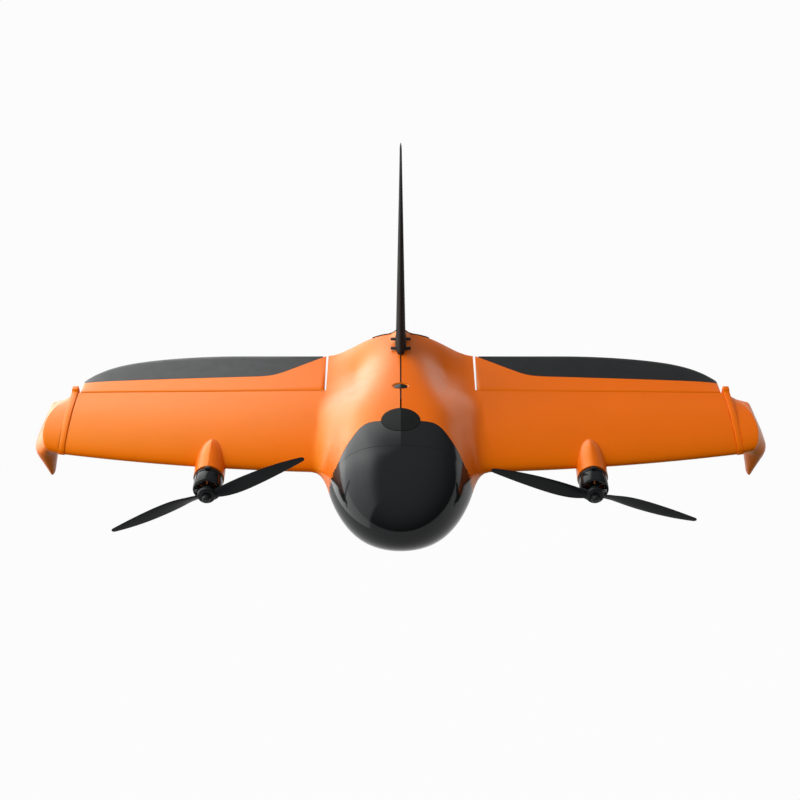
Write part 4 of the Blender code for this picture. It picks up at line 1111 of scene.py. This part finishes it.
def blade_chord(share):
    """Blade width along the radius, from a slim root to a narrow rounded tip."""
    widest = BLADE_WIDEST_SHARE
    if share > widest:
        fall = ((share - widest) / (1.0 - widest)) ** 2
        tip = clamp((share - BLADE_ROUND_SHARE) / (1.0 - BLADE_ROUND_SHARE), 0.0, 1.0)
        chord = BLADE_CHORD + (BLADE_TIP_CHORD - BLADE_CHORD) * fall
        return chord * math.sqrt(1.0 - BLADE_ROUND_SLIM * tip * tip)
    return BLADE_CHORD * (1.0 - BLADE_ROOT_SLIM * ((widest - share) / widest) ** 2)


def blade_outline():
    """A cambered section of unit chord and thickness, from the leading edge round to it again."""
    points = []
    for angle in spaced(0.0, 2.0 * math.pi, 32)[:-1]:
        share = 0.5 - 0.5 * math.cos(angle)
        full = BLADE_FULL[0] * math.sqrt(share) * (1.0 - share) + BLADE_FULL[1] * share
        points.append((share - 0.5, BLADE_TOP * full if angle < math.pi else -BLADE_UNDER * full))
    return points


def propeller(side, sign):
    """Two twisted blades on a stepped hub, between the nut and the bell."""
    front = motor_box(side, "_prop_nut")[1] + HUB_FIT
    rear = motor_box(side, "_motor_bell")[0] - HUB_FIT
    middle = 0.5 * (front + rear)
    hand = -sign
    r = HUB_RADIUS
    step = HUB_STEP
    corner = 0.3 * HUB_ROUND
    bm = lathe(bmesh.new(), [(SHAFT_BORE, rear), (r - HUB_ROUND, rear), (r - corner, rear - corner),
                             (r, rear - HUB_ROUND), (r, front + 4.0 * step), (r - step, front + 2.0 * step),
                             (r - 3.25 * step, front + step), (r - 5.75 * step, front + step),
                             (r - 6.5 * step, front), (SHAFT_BORE, front)])
    outline = blade_outline()
    tip = BLADE_TIP_SHARE * PROP_RADIUS
    radii = spaced(BLADE_START_SHARE * HUB_RADIUS, tip, 34) + spaced(tip, PROP_RADIUS, 6)[1:]
    for direction in (1.0, -1.0):
        loops = []
        for radius in radii:
            share = radius / PROP_RADIUS
            chord = blade_chord(share)
            pitch = math.atan(PROP_PITCH / (2.0 * math.pi * max(radius, BLADE_TWIST_SHARE * PROP_RADIUS)))
            thick = chord * (BLADE_THICK_SHARE + BLADE_ROOT_THICK_SHARE * (1.0 - share) ** 4)
            bow = -hand * BLADE_BOW * math.sin(math.pi * math.sqrt(share)) ** 2
            ring = []
            for along, up in outline:
                across = along * chord
                rise = -up * thick
                z = bow + across * math.cos(pitch) - hand * rise * math.sin(pitch)
                y = hand * across * math.sin(pitch) + rise * math.cos(pitch)
                ring.append((direction * radius, middle + y, direction * z))
            loops.append(ring)
        loft(bm, loops)
    piece(side + "_propeller_blades", bm, BLADE, [side + "_propeller"],
          motor_place(sign, BLADE_ANGLES[side]))


def prop_nut(side, sign):
    """A cap nut: six flats under a round crown."""
    front, rear, radius = motor_box(side, "_prop_nut")
    flats = rear - NUT_FLATS
    base = flats + NUT_CROWN_LAP
    bm = lathe(bmesh.new(), [(SHAFT_BORE, rear), (radius, rear), (radius, flats), (SHAFT_BORE, flats)], 6)
    crown = [(SHAFT_BORE, base)]
    for angle in spaced(0.0, 0.5 * math.pi, 10):
        crown.append((SHAFT_BORE + (NUT_CROWN_RADIUS - SHAFT_BORE) * math.cos(angle),
                      base - (base - front) * math.sin(angle)))
    lathe(bm, crown, 48)
    piece(side + "_prop_nut_cap", bm, SATIN, [side + "_prop_nut"], motor_place(sign))


# Fin and tail

def fin_section(front, rear, half, z):
    """A round nose, thickest well forward, and a slim tail."""
    upper = []
    for angle in spaced(0.0, math.pi, 28):
        share = 0.5 - 0.5 * math.cos(angle)
        ahead = max(0.0, FIN_THICK_AT - share) / FIN_THICK_AT
        behind = max(0.0, share - FIN_THICK_AT) / (1.0 - FIN_THICK_AT)
        fat = math.sqrt(1.0 - ahead ** 2) * (1.0 - FIN_TAPER * behind ** FIN_TAPER_POWER)
        upper.append((half * fat, front + share * (rear - front), z))
    lower = [(-x, y, z) for x, y, z in upper]
    return upper + lower[:0:-1]


def fin():
    loops = []
    for share in spaced(0.0, FIN_ROUND_FROM, 24) + spaced(FIN_ROUND_FROM, 1.0, 8)[1:]:
        z = FIN_ROOT_Z + share * (FIN_TIP_Z - FIN_ROOT_Z)
        front = FIN_ROOT_LE_Y + (FIN_TIP_LE_Y - FIN_ROOT_LE_Y) * share ** FIN_LE_POWER
        round_tip = max(0.0, share - FIN_ROUND_FROM) / (1.0 - FIN_ROUND_FROM)
        front += FIN_ROUND_SHARE * (FIN_TIP_TE_Y - FIN_TIP_LE_Y) * round_tip ** 2
        rear = FIN_ROOT_TE_Y + (FIN_TIP_TE_Y - FIN_ROOT_TE_Y) * share
        half = FIN_ROOT_HALF + (FIN_TIP_HALF - FIN_ROOT_HALF) * share
        loops.append(fin_section(front, rear, half, z))
    piece("fin_blade", loft(bmesh.new(), loops), FIN, ["fin"])


def seam_gasket():
    """The strip between the half shells, pressed flat against both."""
    bm = bmesh.new()
    bm.from_mesh(NODES["centre_seam_gasket"].data)
    wide = max(vertex.co.x for vertex in bm.verts)
    for vertex in bm.verts:
        vertex.co.x *= SEAM_HALF_GAP / wide
    piece("seam_gasket_strip", bm, RUBBER, ["centre_seam_gasket"], Matrix.Identity(4))


# Blocky parts with their edges eased; other carried-over CAD nodes take their slot's finish

def eased(node, slot, width):
    bm = bmesh.new()
    bm.from_mesh(NODES[node].data)
    bmesh.ops.remove_doubles(bm, verts=bm.verts, dist=1e-6)
    bmesh.ops.dissolve_limit(bm, angle_limit=FLAT_ANGLE, verts=bm.verts, edges=bm.edges)
    sharp = [edge for edge in bm.edges
             if len(edge.link_faces) == 2 and edge.calc_face_angle(0.0) > EDGE_ANGLE]
    bmesh.ops.bevel(bm, geom=sharp, offset=width, segments=2, affect="EDGES", profile=0.5,
                    clamp_overlap=True)
    piece(node + "_body", bm, FINISHES[slot], [node], Matrix.Identity(4))


def carried_over():
    for part in frame["record"]["subparts"]:
        node = NODES[part["node"]]
        slot = part["material_slot"]
        if node.hide_render:
            continue
        if node.name in EASED:
            eased(node.name, slot, EASED[node.name])
            continue
        node.data.materials.clear()
        node.data.materials.append(BLACK_STEEL if "motor_shaft" in node.name else FINISHES[slot])


# Light, floor and camera

def wired(tree, kind, *sources, **settings):
    """The outputs of a new node, whose inputs are linked or set in their order."""
    node = tree.nodes.new(kind)
    for key, value in settings.items():
        setattr(node, key, value)
    for socket, source in zip(node.inputs, sources):
        if isinstance(source, bpy.types.NodeSocket):
            tree.links.new(source, socket)
        else:
            socket.default_value = source
    return node.outputs


def grey_run(tree, source, levels):
    """A smooth run of greys, given as (position, level)."""
    return ramp_node(tree, source, [(position, (level, level, level)) for position, level in levels])


def panel():
    """One tall light panel from the left front round to the rear, where it dims."""
    along = Vector(PANEL_REAR) - Vector(PANEL_FRONT)
    facing = Vector((along.y, -along.x, 0.0)).normalized()
    lamp = bpy.data.lights.new("left_panel", "AREA")
    lamp.shape = "RECTANGLE"
    lamp.size = along.length
    lamp.size_y = PANEL_HIGH - PANEL_LOW
    lamp.energy = PANEL_RADIANCE * math.pi * lamp.size * lamp.size_y
    lamp.use_nodes = True
    tree = lamp.node_tree
    spread = wired(tree, "ShaderNodeSeparateXYZ", wired(tree, "ShaderNodeNewGeometry")["Parametric"])
    product = wired(tree, "ShaderNodeVectorMath", grey_run(tree, spread["X"], PANEL_ALONG),
                    grey_run(tree, spread["Y"], PANEL_UP), operation="MULTIPLY")
    tree.links.new(product["Vector"], tree.nodes["Emission"].inputs["Color"])
    made = new_object("left_panel", lamp)
    made.location = 0.5 * (Vector(PANEL_FRONT) + Vector(PANEL_REAR))
    made.location.z = 0.5 * (PANEL_HIGH + PANEL_LOW)
    made.rotation_euler = facing.to_track_quat("-Z", "Y").to_euler()


def plainly_seen(tree):
    """1 for rays from the camera, and for those by way of gloss or glass."""
    rays = wired(tree, "ShaderNodeLightPath")
    seen = rays["Is Camera Ray"]
    for kind in ("Is Glossy Ray", "Is Transmission Ray"):
        seen = wired(tree, "ShaderNodeMath", seen, rays[kind], operation="MAXIMUM")["Value"]
    return seen


def fill():
    """Dim light from all round, a little brighter from above, and a low white horizon to look at."""
    world = bpy.data.worlds.new("studio")
    bpy.context.scene.world = world
    world.use_nodes = True
    tree = world.node_tree
    height = wired(tree, "ShaderNodeSeparateXYZ", wired(tree, "ShaderNodeTexCoord")["Generated"])["Z"]
    skies = [wired(tree, "ShaderNodeBackground", grey_run(tree, height, levels))["Background"]
             for levels in (FILL_LEVELS, HORIZON_LEVELS + FILL_LEVELS[1:])]
    mix = wired(tree, "ShaderNodeMixShader", plainly_seen(tree), *skies)
    tree.links.new(mix["Shader"], tree.nodes["World Output"].inputs["Surface"])


def floor():
    """A wide pale floor far below, white to the camera and in reflections."""
    bm = bmesh.new()
    bmesh.ops.create_grid(bm, x_segments=1, y_segments=1, size=FLOOR_HALF)
    mesh = bpy.data.meshes.new("studio_floor")
    bm.to_mesh(mesh)
    bm.free()
    made = new_object("studio_floor", mesh)
    made.location = (0.0, 0.0, -FLOOR_DROP)
    surface = bpy.data.materials.new("pale_floor")
    surface.use_nodes = True
    tree = surface.node_tree
    tree.nodes.clear()
    share = wired(tree, "ShaderNodeMath", plainly_seen(tree), FLOOR_GLOW, operation="MULTIPLY")["Value"]
    matt = wired(tree, "ShaderNodeBsdfDiffuse", FLOOR_COLOUR)["BSDF"]
    glow = wired(tree, "ShaderNodeEmission")["Emission"]
    mix = wired(tree, "ShaderNodeMixShader", share, matt, glow)["Shader"]
    wired(tree, "ShaderNodeOutputMaterial", mix)
    mesh.materials.append(surface)


def camera():
    """The photograph's view: level with the span, looking down on the nose."""
    ahead = Vector((0.0, math.cos(VIEW_DOWN), -math.sin(VIEW_DOWN)))
    up = Vector((0.0, math.sin(VIEW_DOWN), math.cos(VIEW_DOWN)))
    right = Vector((1.0, 0.0, 0.0))
    lens = bpy.data.cameras.new("photo_camera")
    lens.sensor_width = SENSOR_WIDTH
    lens.lens = SENSOR_WIDTH * FOCAL_PIXELS / PHOTO_SIZE
    lens.clip_end = CLIP_END
    made = new_object("photo_camera", lens)
    pixel = VIEW_DISTANCE / FOCAL_PIXELS
    right_of = (AIM_PIXEL[0] - 0.5 * PHOTO_SIZE) * pixel
    above = (0.5 * PHOTO_SIZE - AIM_PIXEL[1]) * pixel
    spot = ORIGIN - VIEW_DISTANCE * ahead - above * up - right_of * right
    turn = Matrix((right, up, -ahead)).transposed().to_4x4()
    made.matrix_world = Matrix.Translation(spot) @ turn
    bpy.context.scene.camera = made


camera()
floor()
panel()
fill()
shells()
power_button()
nacelles()
for side, sign in (("left", 1.0), ("right", -1.0)):
    elevon(side, sign)
    elevon_strip(side, sign)
    tip_rib(side, sign)
    winglet(side, sign)
    motor_mount(side, sign)
    motor_stator(side, sign)
    motor_bell(side, sign)
    propeller(side, sign)
    prop_nut(side, sign)
fin()
seam_gasket()
carried_over()

bpy.context.scene.view_settings.view_transform = "Standard"
